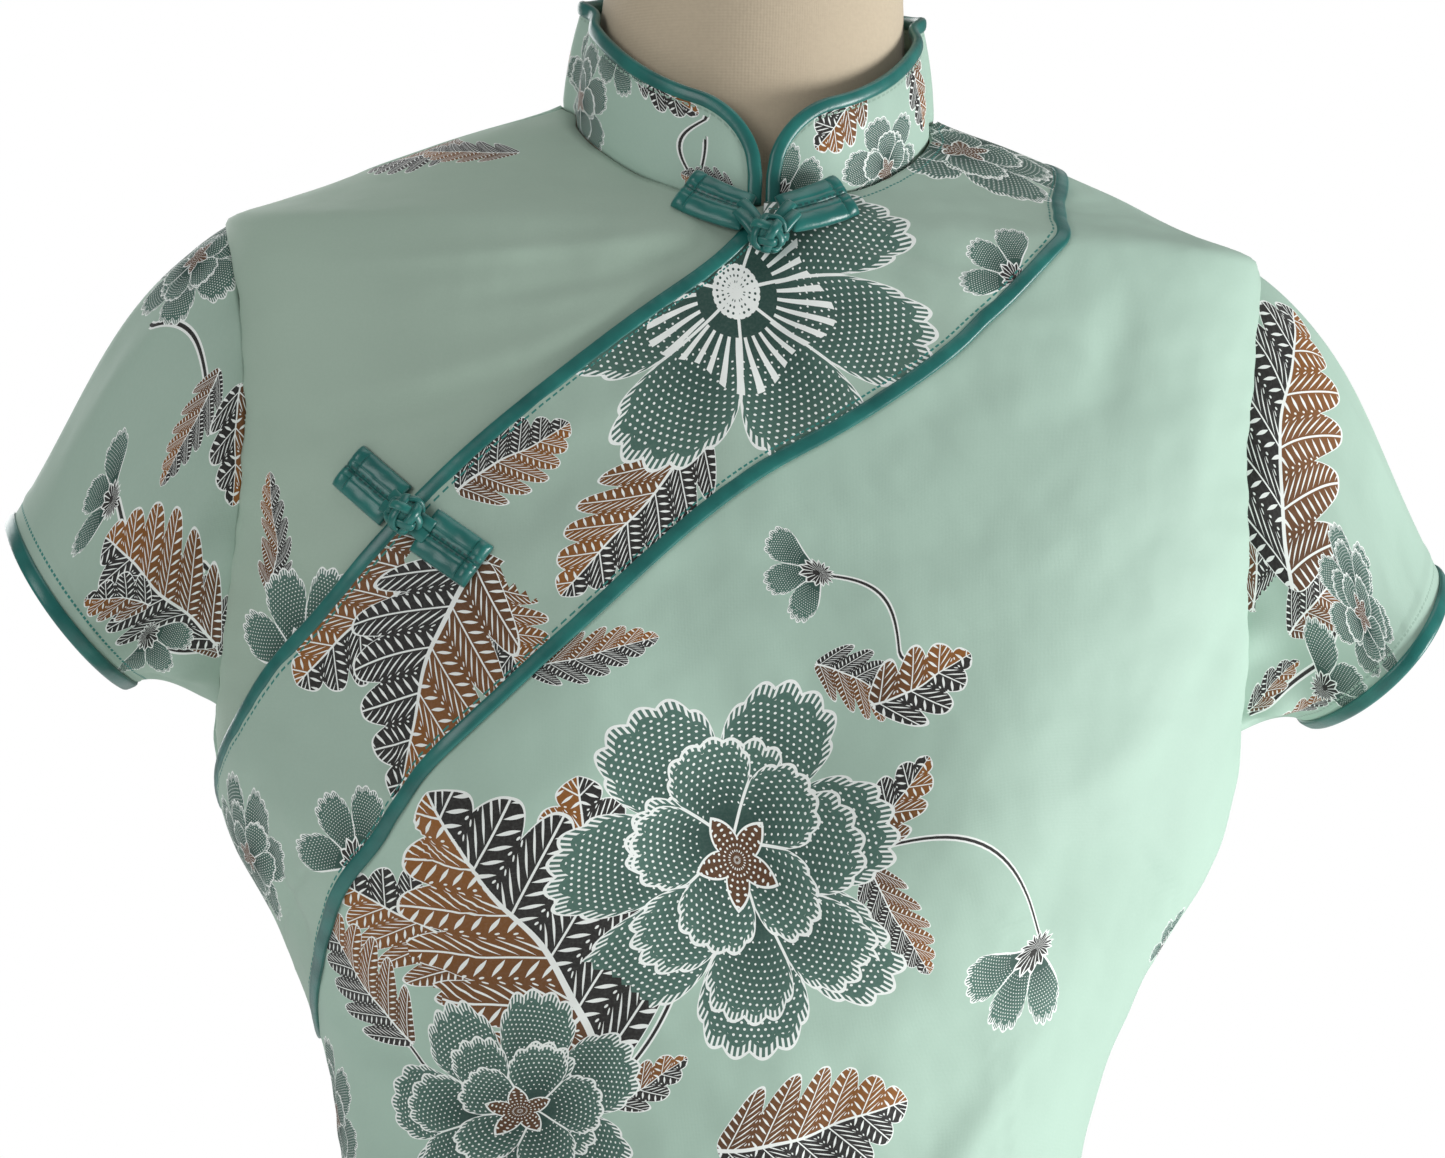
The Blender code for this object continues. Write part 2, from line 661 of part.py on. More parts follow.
def collar_angles(count):
    """Angles along the collar from its left front end round the back to its right one, close at the corners."""
    even = np.linspace(-1, 1, count)
    return 180.0 + (even + 0.10 * np.sin(np.pi * even)) * (180.0 - COLLAR_HALF_GAP)


def collar_top(angles):
    """Rise of the collar cloth's top edge, which the satin strip stands on."""
    return collar_rise(angles) * collar_share(angles) - COLLAR_EDGE


def collar(parent):
    """The standing collar in one strip, open at the front, with rounded corners."""
    angles = collar_angles(49)
    rise = np.linspace(0, 1, 4)[:, None] * collar_top(angles)
    grid = np.broadcast_to(angles, rise.shape)
    bm = wall(on_collar(grid, rise), on_collar(grid, rise, -COLLAR_CLOTH))
    return finish("collar", bm, "printed cotton", parent)


def collar_binding(parent):
    """The satin strip over the collar's top edge and down its two front ends to the neck seam."""
    angles = collar_angles(49)
    down = np.array([0.06, 0.35, 0.68])
    ends = np.full(3, angles[0]), np.full(3, angles[-1])
    rise = collar_top(angles)
    rise = np.concatenate([down * rise[0], rise, down[::-1] * rise[-1]])
    angles = np.concatenate([ends[0], angles, ends[1]])
    path = on_collar(angles, rise, -COLLAR_CLOTH / 2)
    out = np.stack([np.sin(np.radians(angles)), -np.cos(np.radians(angles)), 0 * angles], -1)
    ahead = np.gradient(path, axis=0)
    up = np.cross(ahead, out)
    up /= np.linalg.norm(up, axis=1, keepdims=True)
    up *= np.sign((up * (path - on_collar(np.full(len(angles), 180.0), 0.0))).sum(-1).mean())
    bm = swept(path + up * SEAM_GAP, out, up, 0.0019, COLLAR_EDGE, corners=6)
    return finish("binding_collar", bm, "satin", parent)


def laid_strip(name, path, ups, parent):
    """One flat sewn tab of a closure along a path: two satin strips with a groove between them."""
    across = frames_along(path, ups)
    bm = bmesh.new()
    profile = []
    for t in np.linspace(0, math.pi, 9):
        groove = 0.0007 * math.exp(-((math.cos(t) / 0.16) ** 2))
        profile.append((math.cos(t) * TAB_WIDTH / 2, abs(math.sin(t)) ** 0.55 * TAB_HEIGHT - groove))
    rings = []
    for point, side, up in zip(path, across, ups):
        rings.append([bm.verts.new(point + side * w + up * h) for w, h in profile])
    for a, b in zip(rings, rings[1:]):
        for k in range(len(profile)):
            n = (k + 1) % len(profile)
            bm.faces.new((a[k], a[n], b[n], b[k]))
    bm.faces.new(rings[0])
    bm.faces.new(list(reversed(rings[-1])))
    return finish(name, bm, "satin", parent)


def frog_knot(name, centre, out, parent):
    """The round knotted button in the middle of a closure."""
    bm = bmesh.new()
    bmesh.ops.create_uvsphere(bm, u_segments=14, v_segments=8, radius=KNOT_RADIUS)
    turn = Vector(out).to_track_quat("Z", "Y").to_matrix()
    for v in bm.verts:
        v.co = Vector(centre) + turn @ Vector((v.co.x, v.co.y, v.co.z * 0.85))
    return finish(name, bm, "satin", parent)


def chest_closure(front, parent):
    """The closure across the band's upper edge: a tab on the chest panel, one on the band, a knot between."""
    over_band = LIFT + CLOTH + LIFT + 0.0002
    share = np.linspace(0, 1, 7)
    for name, (a0, l0), (a1, l1), lift in (
        ("frog_chest_button_tab", (-57.3, 1.2715), (-51.4, 1.2585), LIFT + 0.0002),
        ("frog_chest_loop_tab", (-47.6, 1.2505), (-40.9, 1.2385), over_band),
    ):
        angles, levels = a0 + (a1 - a0) * share, l0 + (l1 - l0) * share
        ups = cloth_normal(angles, levels)
        ups = ups / np.linalg.norm(ups, axis=1, keepdims=True)
        laid_strip(name, front.at(angles, levels, lift), ups, parent)
    out = cloth_normal(-49.5, 1.2545)
    knot_lift = LIFT + BINDING_HEIGHT - 0.0008 + KNOT_RADIUS * 0.85
    frog_knot("frog_chest_knot", on_cloth(-49.5, 1.2545, knot_lift), out, parent)


def neck_closure(parent):
    """The closure over the neck seam: a tab on each side of the collar's ends and a knot under them."""
    share = np.linspace(0, 1, 7)
    for name, side, clear in (("frog_neck_button_tab", -1, 0.0047), ("frog_neck_loop_tab", 1, 0.0068)):
        angles = side * (21.5 + (5.6 - 21.5) * share)
        rise = 0.0012 - 0.0052 * share
        lift = clear + 0.0038 * share
        pitch = np.radians(28.0 + 10.0 * share)
        level_out = np.stack([np.sin(np.radians(angles)), -np.cos(np.radians(angles)), 0 * angles], -1)
        ups = level_out * np.cos(pitch)[:, None] + np.array([0, 0, 1.0]) * np.sin(pitch)[:, None]
        laid_strip(name, on_collar(angles, rise, lift), ups, parent)
    out = Vector((0.0, -0.88, 0.47))
    foot = Vector(on_cloth(0.5, 1.3810, 0.0))
    frog_knot("frog_neck_knot", foot + out * (0.0011 + KNOT_RADIUS), out, parent)


def form_torso(parent):
    """The linen-covered torso and neck in one closed body, clear of the dress by its ease."""
    front = body_columns()
    angles = np.concatenate([front, 180.0 + front[1:-1]])
    count = len(angles)
    levels = body_levels()
    levels = np.concatenate([[FORM_BOTTOM], levels[levels > FORM_BOTTOM + 0.03]])
    rings = []
    for level in levels:
        side, middle = smooth_columns(EASES, np.array(level))
        from_side = np.abs(np.abs(turn_between(angles, 0.0)) - 90.0)
        weight = np.exp(-((from_side / 9.0) ** 2))
        if level < SHOULDER_TIP - 0.02:
            weight = np.sin(np.radians(angles)) ** 2
        ease = middle + (side - middle) * weight
        levels = np.full(count, level)
        rings.append(on_cloth(angles, levels, 0.0) - cloth_normal(angles, levels) * (CLOTH + ease)[:, None])
    rings[0][:, 2] = FORM_BOTTOM
    neck_line = neck_height(angles)
    s, c = np.sin(np.radians(angles)), np.cos(np.radians(angles))
    foot = np.linalg.norm(on_cloth(angles, NECK_LEVEL, 0.0)[:, :2], axis=1)
    for share, inset in ((0.10, 0.0080), (0.34, 0.0105), (1.0, 0.0118)):
        height = neck_line * (1 - share) + 1.444 * share
        radius = foot - inset
        rings.append(np.stack([radius * s, -radius * c - 0.002 * share, height], -1))
    for width, depth, height in (
        (0.0555, 0.0550, 1.470),
        (0.0550, 0.0545, NECK_TOP - 0.004),
        (0.0525, 0.0520, NECK_TOP),
    ):
        rings.append(np.stack([width * s, -depth * c - 0.007, np.full(count, height)], -1))
    bm = bmesh.new()
    made = [[bm.verts.new(p) for p in ring] for ring in rings]
    for a, b in zip(made, made[1:]):
        for k in range(count):
            n = (k + 1) % count
            bm.faces.new((a[k], a[n], b[n]))
            bm.faces.new((a[k], b[n], b[k]))
    bm.faces.new(list(reversed(made[0])))
    bm.faces.new(made[-1])
    return finish("form_torso", bm, "linen", parent)


def turned(name, profile, segments, finish_name, parent):
    """A solid turned about the pole's axis, from its profile of radius and height, bottom to top."""
    bm = bmesh.new()
    verts = [bm.verts.new((radius, 0, height)) for radius, height in profile]
    edges = [bm.edges.new(pair) for pair in zip(verts, verts[1:])]
    bmesh.ops.spin(
        bm,
        geom=verts + edges,
        axis=(0, 0, 1),
        cent=(0, 0, 0),
        angle=2 * math.pi,
        steps=segments,
        use_merge=True,
    )
    bmesh.ops.remove_doubles(bm, verts=bm.verts, dist=1e-6)
    return finish(name, bm, finish_name, parent, sharp=35.0)


def stand(parent):
    """The neck cap, the socket under the torso, the pole and the round base."""
    gap = 0.0003
    cap_z = NECK_TOP + gap
    cap = turned(
        "form_neck_cap",
        [(r, cap_z + up) for r, up in ((0, 0), (0.046, 0), (0.048, 0.002), (0.046, 0.006), (0.020, 0.009), (0, 0.010))],
        28,
        "wood",
        parent,
    )
    cap.location.y = -0.007
    socket_top = FORM_BOTTOM - gap
    socket_low = FORM_BOTTOM - 0.045
    turned(
        "form_socket",
        [
            (0, socket_low + 0.015),
            (0.0225, socket_low + 0.015),
            (0.0225, socket_low + 0.033),
            (0.050, socket_low + 0.035),
            (0.050, socket_top),
            (0, socket_top),
        ],
        28,
        "wood",
        parent,
    )
    base_top = BASE_THICKNESS + 0.016
    turned(
        "form_pole",
        [
            (0, base_top + gap),
            (POLE_RADIUS, base_top + gap),
            (POLE_RADIUS, socket_low + 0.015 - gap),
            (0, socket_low + 0.015 - gap),
        ],
        24,
        "steel",
        parent,
    )
    turned(
        "form_base",
        [
            (0, 0),
            (BASE_RADIUS - 0.003, 0),
            (BASE_RADIUS, 0.003),
            (BASE_RADIUS, BASE_THICKNESS - 0.003),
            (BASE_RADIUS - 0.004, BASE_THICKNESS),
            (0.090, BASE_THICKNESS + 0.004),
            (0.040, BASE_THICKNESS + 0.010),
            (0.034, base_top),
            (0, base_top),
        ],
        40,
        "steel",
        parent,
    )


def main():
    for leftover in list(bpy.data.objects):
        bpy.data.objects.remove(leftover)
    dress = bpy.data.objects.new("dress", None)
    form = bpy.data.objects.new("form", None)
    for empty in (dress, form):
        bpy.context.scene.collection.objects.link(empty)
    front = Facets(np.sort(np.append(body_columns(), NECK_CORNER)), body_levels())
    back = Facets(180.0 + body_columns(), body_levels())
    front_main(front, dress)
    front_chest(front, dress)
    cloth_piece("back", back, side_bounds(back, 180.0), "printed cotton", dress)
    band(front, dress)
    edge_binding("binding_lapel_upper", front, UPPER_EDGE, -2.0, -89.5, 46, dress)
    edge_binding("binding_lapel_lower", front, LOWER_EDGE, 89.5, -89.5, 70, dress)
    for name, side in (("left", 1), ("right", -1)):
        sleeve("sleeve_" + name, side, (front, back), dress)
        sleeve_binding("binding_sleeve_" + name, side, (front, back), dress)
    collar(dress)
    collar_binding(dress)
    chest_closure(front, dress)
    neck_closure(dress)
    form_torso(form)
    stand(form)


main()
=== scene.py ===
"""The looks of a cheongsam on a limbless dress form.

Metres, +Z up, the front faces -Y. A place on the worn cloth is an angle round the body, 0 at the
front and 90 over the +X side seam, and a level, the height of that place's ring at the side seam.
Rings tilt into the neckline above the bust, so that the front lies lower than the side there.
"""

import logging
import math
from collections.abc import Callable, Sequence
from dataclasses import dataclass, field
from enum import Enum

import bmesh
import bpy
import numpy as np
from mathutils import Matrix, Vector


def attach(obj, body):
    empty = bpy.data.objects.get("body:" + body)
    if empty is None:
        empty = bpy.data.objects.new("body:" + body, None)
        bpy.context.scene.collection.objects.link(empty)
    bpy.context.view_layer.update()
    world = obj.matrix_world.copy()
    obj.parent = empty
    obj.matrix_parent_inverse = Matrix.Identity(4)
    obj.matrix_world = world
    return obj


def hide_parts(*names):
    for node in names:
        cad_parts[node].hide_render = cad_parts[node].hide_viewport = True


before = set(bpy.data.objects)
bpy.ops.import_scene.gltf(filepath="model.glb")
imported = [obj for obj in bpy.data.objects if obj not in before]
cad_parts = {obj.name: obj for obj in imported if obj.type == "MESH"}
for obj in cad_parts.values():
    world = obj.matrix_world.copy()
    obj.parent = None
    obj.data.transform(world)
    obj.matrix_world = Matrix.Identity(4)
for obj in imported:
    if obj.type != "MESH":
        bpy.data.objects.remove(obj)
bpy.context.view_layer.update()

logging.basicConfig(level=logging.INFO, format="%(message)s")
log = logging.getLogger("cheongsam")

Array = np.ndarray
Place = tuple[float, float]
Colour = tuple[float, float, float]

# a usual distance from the body's axis, which turns an angle on the cloth into metres
GIRTH_RADIUS = 0.13
# a point well inside the dress, which its panels face away from
BODY_MIDDLE = Vector((0, 0, 1.1))
# corners closer than this are one
WELD = 1e-6


# Reading a table


def smooth_columns(rows: Sequence[Sequence[float]], at: Array) -> Array:
    """Reads a table with no overshoot.

    Args:
        rows: Rows of numbers, the first column rising or falling.
        at: Values of the first column to read the others at.

    Returns:
        The other columns, in the last axis.
    """
    table = np.array(rows, float)
    if table[0, 0] > table[-1, 0]:
        table = table[::-1]
    x, y = table[:, 0], table[:, 1:]
    step = np.diff(x)
    slope = np.diff(y, axis=0) / step[:, None]
    tangent = np.zeros_like(y)
    product, total = slope[:-1] * slope[1:], slope[:-1] + slope[1:]
    rising = product > 0
    tangent[1:-1] = np.where(rising, 2 * product / np.where(rising, total, 1), 0)
    tangent[0], tangent[-1] = slope[0], slope[-1]
    at = np.clip(np.asarray(at, float), x[0], x[-1])
    i = np.clip(np.searchsorted(x, at) - 1, 0, len(step) - 1)
    t = ((at - x[i]) / step[i])[..., None]
    h = step[i][..., None]
    return (
        (1 + 2 * t) * (1 - t) ** 2 * y[i]
        + t * (1 - t) ** 2 * h * tangent[i]
        + t * t * (3 - 2 * t) * y[i + 1]
        + t * t * (t - 1) * h * tangent[i + 1]
    )


def turn_between(a: Array, b: float) -> Array:
    """The signed angle from b to a in degrees, the short way round."""
    return (a - b + 180.0) % 360.0 - 180.0


def unit(vectors: Array) -> Array:
    """The same directions with length one."""
    return vectors / np.linalg.norm(vectors, axis=-1, keepdims=True)


def level_out(angle: Array) -> Array:
    """The level direction away from the body's axis at an angle."""
    turn = np.radians(angle)
    return np.stack([np.sin(turn), -np.cos(turn), 0 * turn], -1)


def bell(at: Array, middle: float, half_width: float) -> Array:
    """A smooth bump of height one."""
    return np.exp(-(((at - middle) / half_width) ** 2))


def ripple(along: Array, seed: int, length: float) -> Array:
    """An uneven wave between about -1 and 1.

    Args:
        along: Distance along the wave in metres.
        seed: Number that sets the wave's own shape.
        length: Usual distance between crests in metres.

    Returns:
        The wave's height at each distance.
    """
    rng = np.random.default_rng(seed)
    wave = np.zeros_like(along)
    for stretch in (0.62, 1.0, 1.7):
        phase, size = rng.uniform(0, 6.28), rng.uniform(0.3, 0.5)
        wave = wave + np.sin(2 * math.pi * along / (length * stretch) + phase) * size
    return wave


# The worn cloth


@dataclass(frozen=True)
class WornCloth:
    """The outer face of the worn dress, in the sizes the solids have."""

    ring_level: float = 1.16
    neck_level: float = 1.400
    neck_drop: float = 0.039
    neck_rise: float = 0.012
    underarm: float = 1.176
    shoulder_tip: float = 1.352
    armhole_turn: float = 17.0
    hem_level: float = 0.42
    slit_top: float = 0.64
    # half the gap between the panels at the side seam, and what the slit adds at the hem, in degrees
    seam_gap: float = 0.03
    slit_gap: float = 2.0
    # height, half width, depth in front, depth behind, squareness
    sections: tuple = (
        (0.420, 0.1880, 0.1120, 0.1180, 2.2),
        (0.620, 0.1920, 0.1220, 0.1300, 2.3),
        (0.800, 0.1860, 0.1220, 0.1360, 2.3),
        (0.900, 0.1660, 0.1120, 0.1220, 2.2),
        (0.960, 0.1450, 0.1030, 0.1040, 2.2),
        (1.000, 0.1345, 0.0990, 0.0940, 2.2),
        (1.030, 0.1375, 0.1010, 0.0920, 2.2),
        (1.055, 0.1435, 0.1060, 0.0940, 2.2),
        (1.080, 0.1520, 0.1120, 0.0970, 2.3),
        (1.100, 0.1620, 0.1170, 0.1000, 2.3),
        (1.126, 0.1770, 0.1230, 0.1030, 2.4),
        (1.150, 0.1850, 0.1260, 0.1050, 2.5),
        (1.176, 0.1875, 0.1255, 0.1070, 2.6),
        (1.210, 0.1885, 0.1210, 0.1090, 2.8),
        (1.260, 0.1890, 0.1100, 0.1100, 3.0),
        (1.300, 0.1895, 0.0990, 0.1090, 3.0),
        (1.335, 0.1905, 0.0870, 0.1050, 2.9),
        (1.352, 0.1900, 0.0800, 0.1010, 2.6),
        (1.361, 0.1700, 0.0715, 0.0985, 2.2),
        (1.370, 0.1480, 0.0600, 0.0960, 2.0),
        (1.380, 0.1240, 0.0465, 0.0930, 2.0),
        (1.390, 0.0980, 0.0320, 0.0900, 2.0),
        (1.400, 0.0690, 0.0140, 0.0860, 2.0),
        (1.412, 0.0520, 0.0100, 0.0620, 2.0),
    )
    # angle, height, spread as an angle, spread in height, depth
    swells: tuple = (
        (31.0, 1.150, 17.0, 0.046, 0.0110),
        (-31.0, 1.150, 17.0, 0.046, 0.0110),
        (0.0, 1.150, 13.0, 0.040, -0.0030),
        (180.0, 1.290, 40.0, 0.060, 0.0040),
        (150.0, 0.850, 24.0, 0.050, 0.0060),
        (-150.0, 0.850, 24.0, 0.050, 0.0060),
    )
    # angle and height at both ends, half width, depth: the large folds the solids have too
    folds: tuple = (
        (-58.0, 1.215, -50.0, 1.105, 0.013, -0.0042),
        (-45.0, 1.205, -36.0, 1.120, 0.012, 0.0024),
        (-66.0, 1.070, -26.0, 1.020, 0.010, -0.0034),
        (-58.0, 1.045, -18.0, 0.990, 0.011, 0.0022),
        (57.0, 1.185, 60.0, 1.080, 0.012, -0.0030),
        (44.0, 1.110, 36.0, 1.030, 0.014, -0.0020),
        (-24.0, 1.335, -58.0, 1.318, 0.008, 0.0018),
        (28.0, 1.330, 60.0, 1.312, 0.009, -0.0016),
        (150.0, 1.050, 118.0, 1.010, 0.012, -0.0026),
        (-150.0, 1.055, -116.0, 1.015, 0.012, -0.0026),
        (128.0, 1.230, 146.0, 1.130, 0.014, -0.0030),
        (-128.0, 1.225, -147.0, 1.125, 0.014, -0.0030),
    )
    # the finer folds, drag lines and darts that only the looks have
    creases: tuple = (
        (-12.0, 1.345, -52.0, 1.322, 0.0050, -0.0020),
        (-18.0, 1.350, -64.0, 1.335, 0.0040, 0.0019),
        (-26.0, 1.322, -60.0, 1.285, 0.0070, 0.0022),
        (-64.0, 1.275, -44.0, 1.292, 0.0060, -0.0017),
        (-70.0, 1.245, -58.0, 1.215, 0.0060, -0.0031),
        (-50.0, 1.178, -44.0, 1.120, 0.0045, -0.0037),
        (-63.0, 1.165, -60.0, 1.085, 0.0050, 0.0031),
        (-70.0, 1.150, -72.0, 1.070, 0.0050, -0.0031),
        (-40.0, 1.100, -60.0, 1.035, 0.0060, 0.0026),
        (-22.0, 1.085, -50.0, 1.010, 0.0060, -0.0020),
        (14.0, 1.352, 44.0, 1.340, 0.0040, -0.0017),
        (20.0, 1.345, 52.0, 1.322, 0.0050, 0.0017),
        (60.0, 1.335, 52.0, 1.290, 0.0060, -0.0020),
        (66.0, 1.310, 60.0, 1.255, 0.0060, 0.0017),
        (70.0, 1.230, 58.0, 1.180, 0.0070, -0.0024),
        (60.0, 1.190, 40.0, 1.150, 0.0080, 0.0017),
        (8.0, 1.190, 10.0, 1.140, 0.0090, -0.0014),
        (20.0, 1.060, 8.0, 0.990, 0.0090, -0.0017),
        (52.0, 1.075, 34.0, 0.985, 0.0080, 0.0022),
        (30.0, 0.960, 62.0, 0.925, 0.0120, 0.0031),
        (-30.0, 0.960, -62.0, 0.930, 0.0120, 0.0031),
        (20.0, 0.600, 24.0, 0.440, 0.0200, 0.0048),
        (-34.0, 0.660, -28.0, 0.430, 0.0220, 0.0044),
        (160.0, 1.000, 200.0, 0.985, 0.0080, -0.0024),
        (165.0, 1.032, 196.0, 1.018, 0.0080, 0.0024),
        (120.0, 0.960, 150.0, 0.935, 0.0110, 0.0027),
        (240.0, 0.960, 212.0, 0.935, 0.0110, 0.0027),
        (160.0, 1.345, 128.0, 1.325, 0.0080, 0.0020),
        (200.0, 1.345, 232.0, 1.325, 0.0080, 0.0020),
        (166.0, 0.640, 160.0, 0.440, 0.0220, 0.0051),
        (200.0, 0.680, 208.0, 0.430, 0.0200, 0.0041),
    )
    dart_depth: float = 0.0010
    dart_half_width: float = 0.0012
    dart_ridge: float = 0.0006
    dart_ridge_half_width: float = 0.0055
    # how wide a strip the band's edges hold, and how much of the relief they take from it
    held_half_width: float = 0.011
    held_share: float = 0.85
    # waves over the whole cloth, in radians per metre: across and its bend, up and its bend, and height
    unevenness: tuple = ((61, 33, 74, 29, 0.00055), (95, 41, 120, 37, 0.00030))
    # sewn darts: angle and height of both ends
    darts: tuple = (
        (-38.5, 1.128, -56.0, 1.000),
        (-56.0, 1.000, -50.0, 0.900),
        (38.5, 1.118, 56.0, 1.000),
        (56.0, 1.000, 50.0, 0.900),
        (88.0, 1.085, 50.0, 1.150),
        (-88.0, 1.085, -62.0, 1.125),
        (212.0, 1.150, 206.0, 1.000),
        (206.0, 1.000, 210.0, 0.880),
        (148.0, 1.150, 154.0, 1.000),
        (154.0, 1.000, 150.0, 0.880),
    )

    def neck_height(self, angle: Array) -> Array:
        """Height of the neckline at an angle.

        Args:
            angle: Angles round the body.

        Returns:
            The heights.
        """
        c = np.cos(np.radians(angle))
        front = self.neck_level - self.neck_drop * np.abs(c) ** 1.3
        return np.where(c > 0, front, self.neck_level + self.neck_rise * np.abs(c) ** 1.5)

    def height(self, angle: Array, level: Array) -> Array:
        """Height of a place, whose ring tilts into the neckline above the bust.

        Args:
            angle: Angles round the body.
            level: Levels of the cloth.

        Returns:
            The heights.
        """
        share = (level - self.ring_level) / (self.neck_level - self.ring_level)
        tilted = self.ring_level + (self.neck_height(angle) - self.ring_level) * share
        return np.where(level <= self.ring_level, level, tilted)

    def along_line(self, angle: Array, height: Array, line: Sequence[float]) -> tuple[Array, Array]:
        """How far along a line on the cloth a place is, and how far off it in metres.

        Args:
            angle: Angles round the body.
            height: Heights above the floor.
            line: Angle and height of both ends, first.

        Returns:
            The share of the way along, and the distance off.
        """
        a0, z0, a1, z1 = line[:4]
        x, z = np.radians(turn_between(angle, a0)) * GIRTH_RADIUS, height - z0
        dx, dz = math.radians(a1 - a0) * GIRTH_RADIUS, z1 - z0
        along = np.clip((x * dx + z * dz) / (dx * dx + dz * dz), 0, 1)
        return along, np.hypot(x - along * dx, z - along * dz)

    def pressed(self, angle: Array, height: Array, lines: Sequence[Sequence[float]]) -> Array:
        """How far folds along some lines push the cloth out or in.

        Args:
            angle: Angles round the body.
            height: Heights above the floor.
            lines: The folds' ends, half widths and depths.

        Returns:
            The push outwards, in metres.
        """
        moved = np.zeros(np.shape(angle))
        for line in lines:
            along, off = self.along_line(angle, height, line)
            half_width, depth = line[4:]
            faded = np.sin(math.pi * (0.12 + 0.76 * along))
            moved = moved + depth * bell(off, 0.0, half_width) * faded
        return moved

    def reach(self, angle: Array, height: Array) -> Array:
        """Distance of the smooth cloth from the body's axis.

        Args:
            angle: Angles round the body.
            height: Heights above the floor.

        Returns:
            The distance in metres.
        """
        half_width, front, back, square = np.moveaxis(smooth_columns(self.sections, height), -1, 0)
        s, c = np.sin(np.radians(angle)), np.cos(np.radians(angle))
        depth = np.where(c > 0, front, back)
        out = ((np.abs(s) / half_width) ** square + (np.abs(c) / depth) ** square) ** (-1 / square)
        for a, z, a_spread, z_spread, amount in self.swells:
            away = (turn_between(angle, a) / a_spread) ** 2 + ((height - z) / z_spread) ** 2
            out = out + amount * np.exp(-away)
        return out + self.pressed(angle, height, self.folds)

    def relief(self, angle: Array, height: Array) -> Array:
        """Height of the creases, darts and small unevenness over the smooth cloth, in metres.

        Args:
            angle: Angles round the body.
            height: Heights above the floor.

        Returns:
            The relief along the cloth's normal.
        """
        out = self.pressed(angle, height, self.creases)
        for line in self.darts:
            off = self.along_line(angle, height, line)[1]
            out = out - self.dart_depth * bell(off, 0.0, self.dart_half_width)
            out = out + self.dart_ridge * bell(off, 0.0, self.dart_ridge_half_width)
        x = np.radians(angle) * GIRTH_RADIUS
        for across, across_bend, up, up_bend, size in self.unevenness:
            wave = np.sin(x * across + 3 * np.sin(height * across_bend))
            out = out + size * (wave * np.sin(height * up + 2 * np.sin(x * up_bend)))
        in_front = np.abs(turn_between(angle, 0.0)) < 92
        for edge in (UPPER_EDGE, LOWER_EDGE):
            held = bell(height, self.height(angle, edge_level(edge, angle)), self.held_half_width)
            out = out * (1 - self.held_share * held * in_front)
        return out

    def point(self, angle: Array, level: Array, lift: Array | float = 0.0, fine: bool = True) -> Array:
        """Places on the cloth.

        Args:
            angle: Angles round the body.
            level: Levels of the places.
            lift: How far out along the cloth's normal.
            fine: Whether the creases and darts count.

        Returns:
            The points, in the last axis.
        """
        angle, level = np.broadcast_arrays(np.asarray(angle, float), np.asarray(level, float))
        height = self.height(angle, level)

        def bare(a: Array, h: Array) -> Array:
            """A point on the smooth cloth."""
            r = self.reach(a, h)
            return np.stack([r * np.sin(np.radians(a)), -r * np.cos(np.radians(a)), h], -1)

        across = bare(angle + 0.6, height) - bare(angle - 0.6, height)
        up = bare(angle, height + 0.0008) - bare(angle, height - 0.0008)
        out = unit(np.cross(across, up))
        lift = np.broadcast_to(lift, angle.shape) + (self.relief(angle, height) if fine else 0.0)
        return bare(angle, height) + out * lift[..., None]

    def normal(self, angle: Array, level: Array) -> Array:
        """Outward direction of the smooth cloth."""
        return (self.point(angle, level, 0.001, False) - self.point(angle, level, 0.0, False)) * 1000.0

    def armhole(self) -> Place:
        """Level of the armhole's middle, and half its height."""
        return (self.underarm + self.shoulder_tip) / 2, (self.shoulder_tip - self.underarm) / 2

    def side_gap(self, level: Array) -> Array:
        """How far a panel stops short of the side: the seam, the armhole or the slit, in degrees.

        Args:
            level: Levels of the cloth.

        Returns:
            The gaps.
        """
        middle, half = self.armhole()
        armhole = self.armhole_turn * np.sqrt(np.clip(1 - ((level - middle) / half) ** 2, 0, 1))
        below = np.clip((self.slit_top - level) / (self.slit_top - self.hem_level), 0, 1)
        return np.maximum(self.seam_gap + self.slit_gap * below**1.3, armhole)


BODY = WornCloth()

# angle and level along the overlapping band's two edges: the upper one from the neck, and the lower
# one from the left shoulder, to the right side seam
UPPER_EDGE = (
    (0.0, 1.3960),
    (-10.5, 1.3734),
    (-18.4, 1.3590),
    (-25.2, 1.3447),
    (-35.7, 1.3154),
    (-46.5, 1.2744),
    (-55.3, 1.2276),
    (-61.3, 1.2056),
    (-72.1, 1.1701),
    (-81.3, 1.1530),
    (-89.9, 1.1390),
)
LOWER_EDGE = (
    (89.9, 1.3850),
    (79.8, 1.3832),
    (71.2, 1.3795),
    (60.4, 1.3738),
    (52.3, 1.3645),
    (43.9, 1.3480),
    (34.5, 1.3325),
    (16.0, 1.3080),
    (-0.7, 1.2876),
    (-14.1, 1.2610),
    (-31.6, 1.2062),
    (-41.6, 1.1669),
    (-54.0, 1.1315),
    (-74.0, 1.0827),
    (-89.9, 1.0560),
)


def edge_level(edge: Sequence[Place], angle: Array) -> Array:
    """The level at which one of the band's edges crosses an angle, averaged over a few degrees."""
    return sum(smooth_columns(edge, angle + away)[..., 0] for away in (-4.5, -2.0, 0.0, 2.0, 4.5)) / 5


def hidden_edge(angle: Array) -> Array:
    """Level where the two front panels meet, under the band."""
    return edge_level(UPPER_EDGE, np.minimum(angle, 0.0)) * 0.62 + edge_level(LOWER_EDGE, angle) * 0.38


# The flat cut of a panel, and what is printed on it


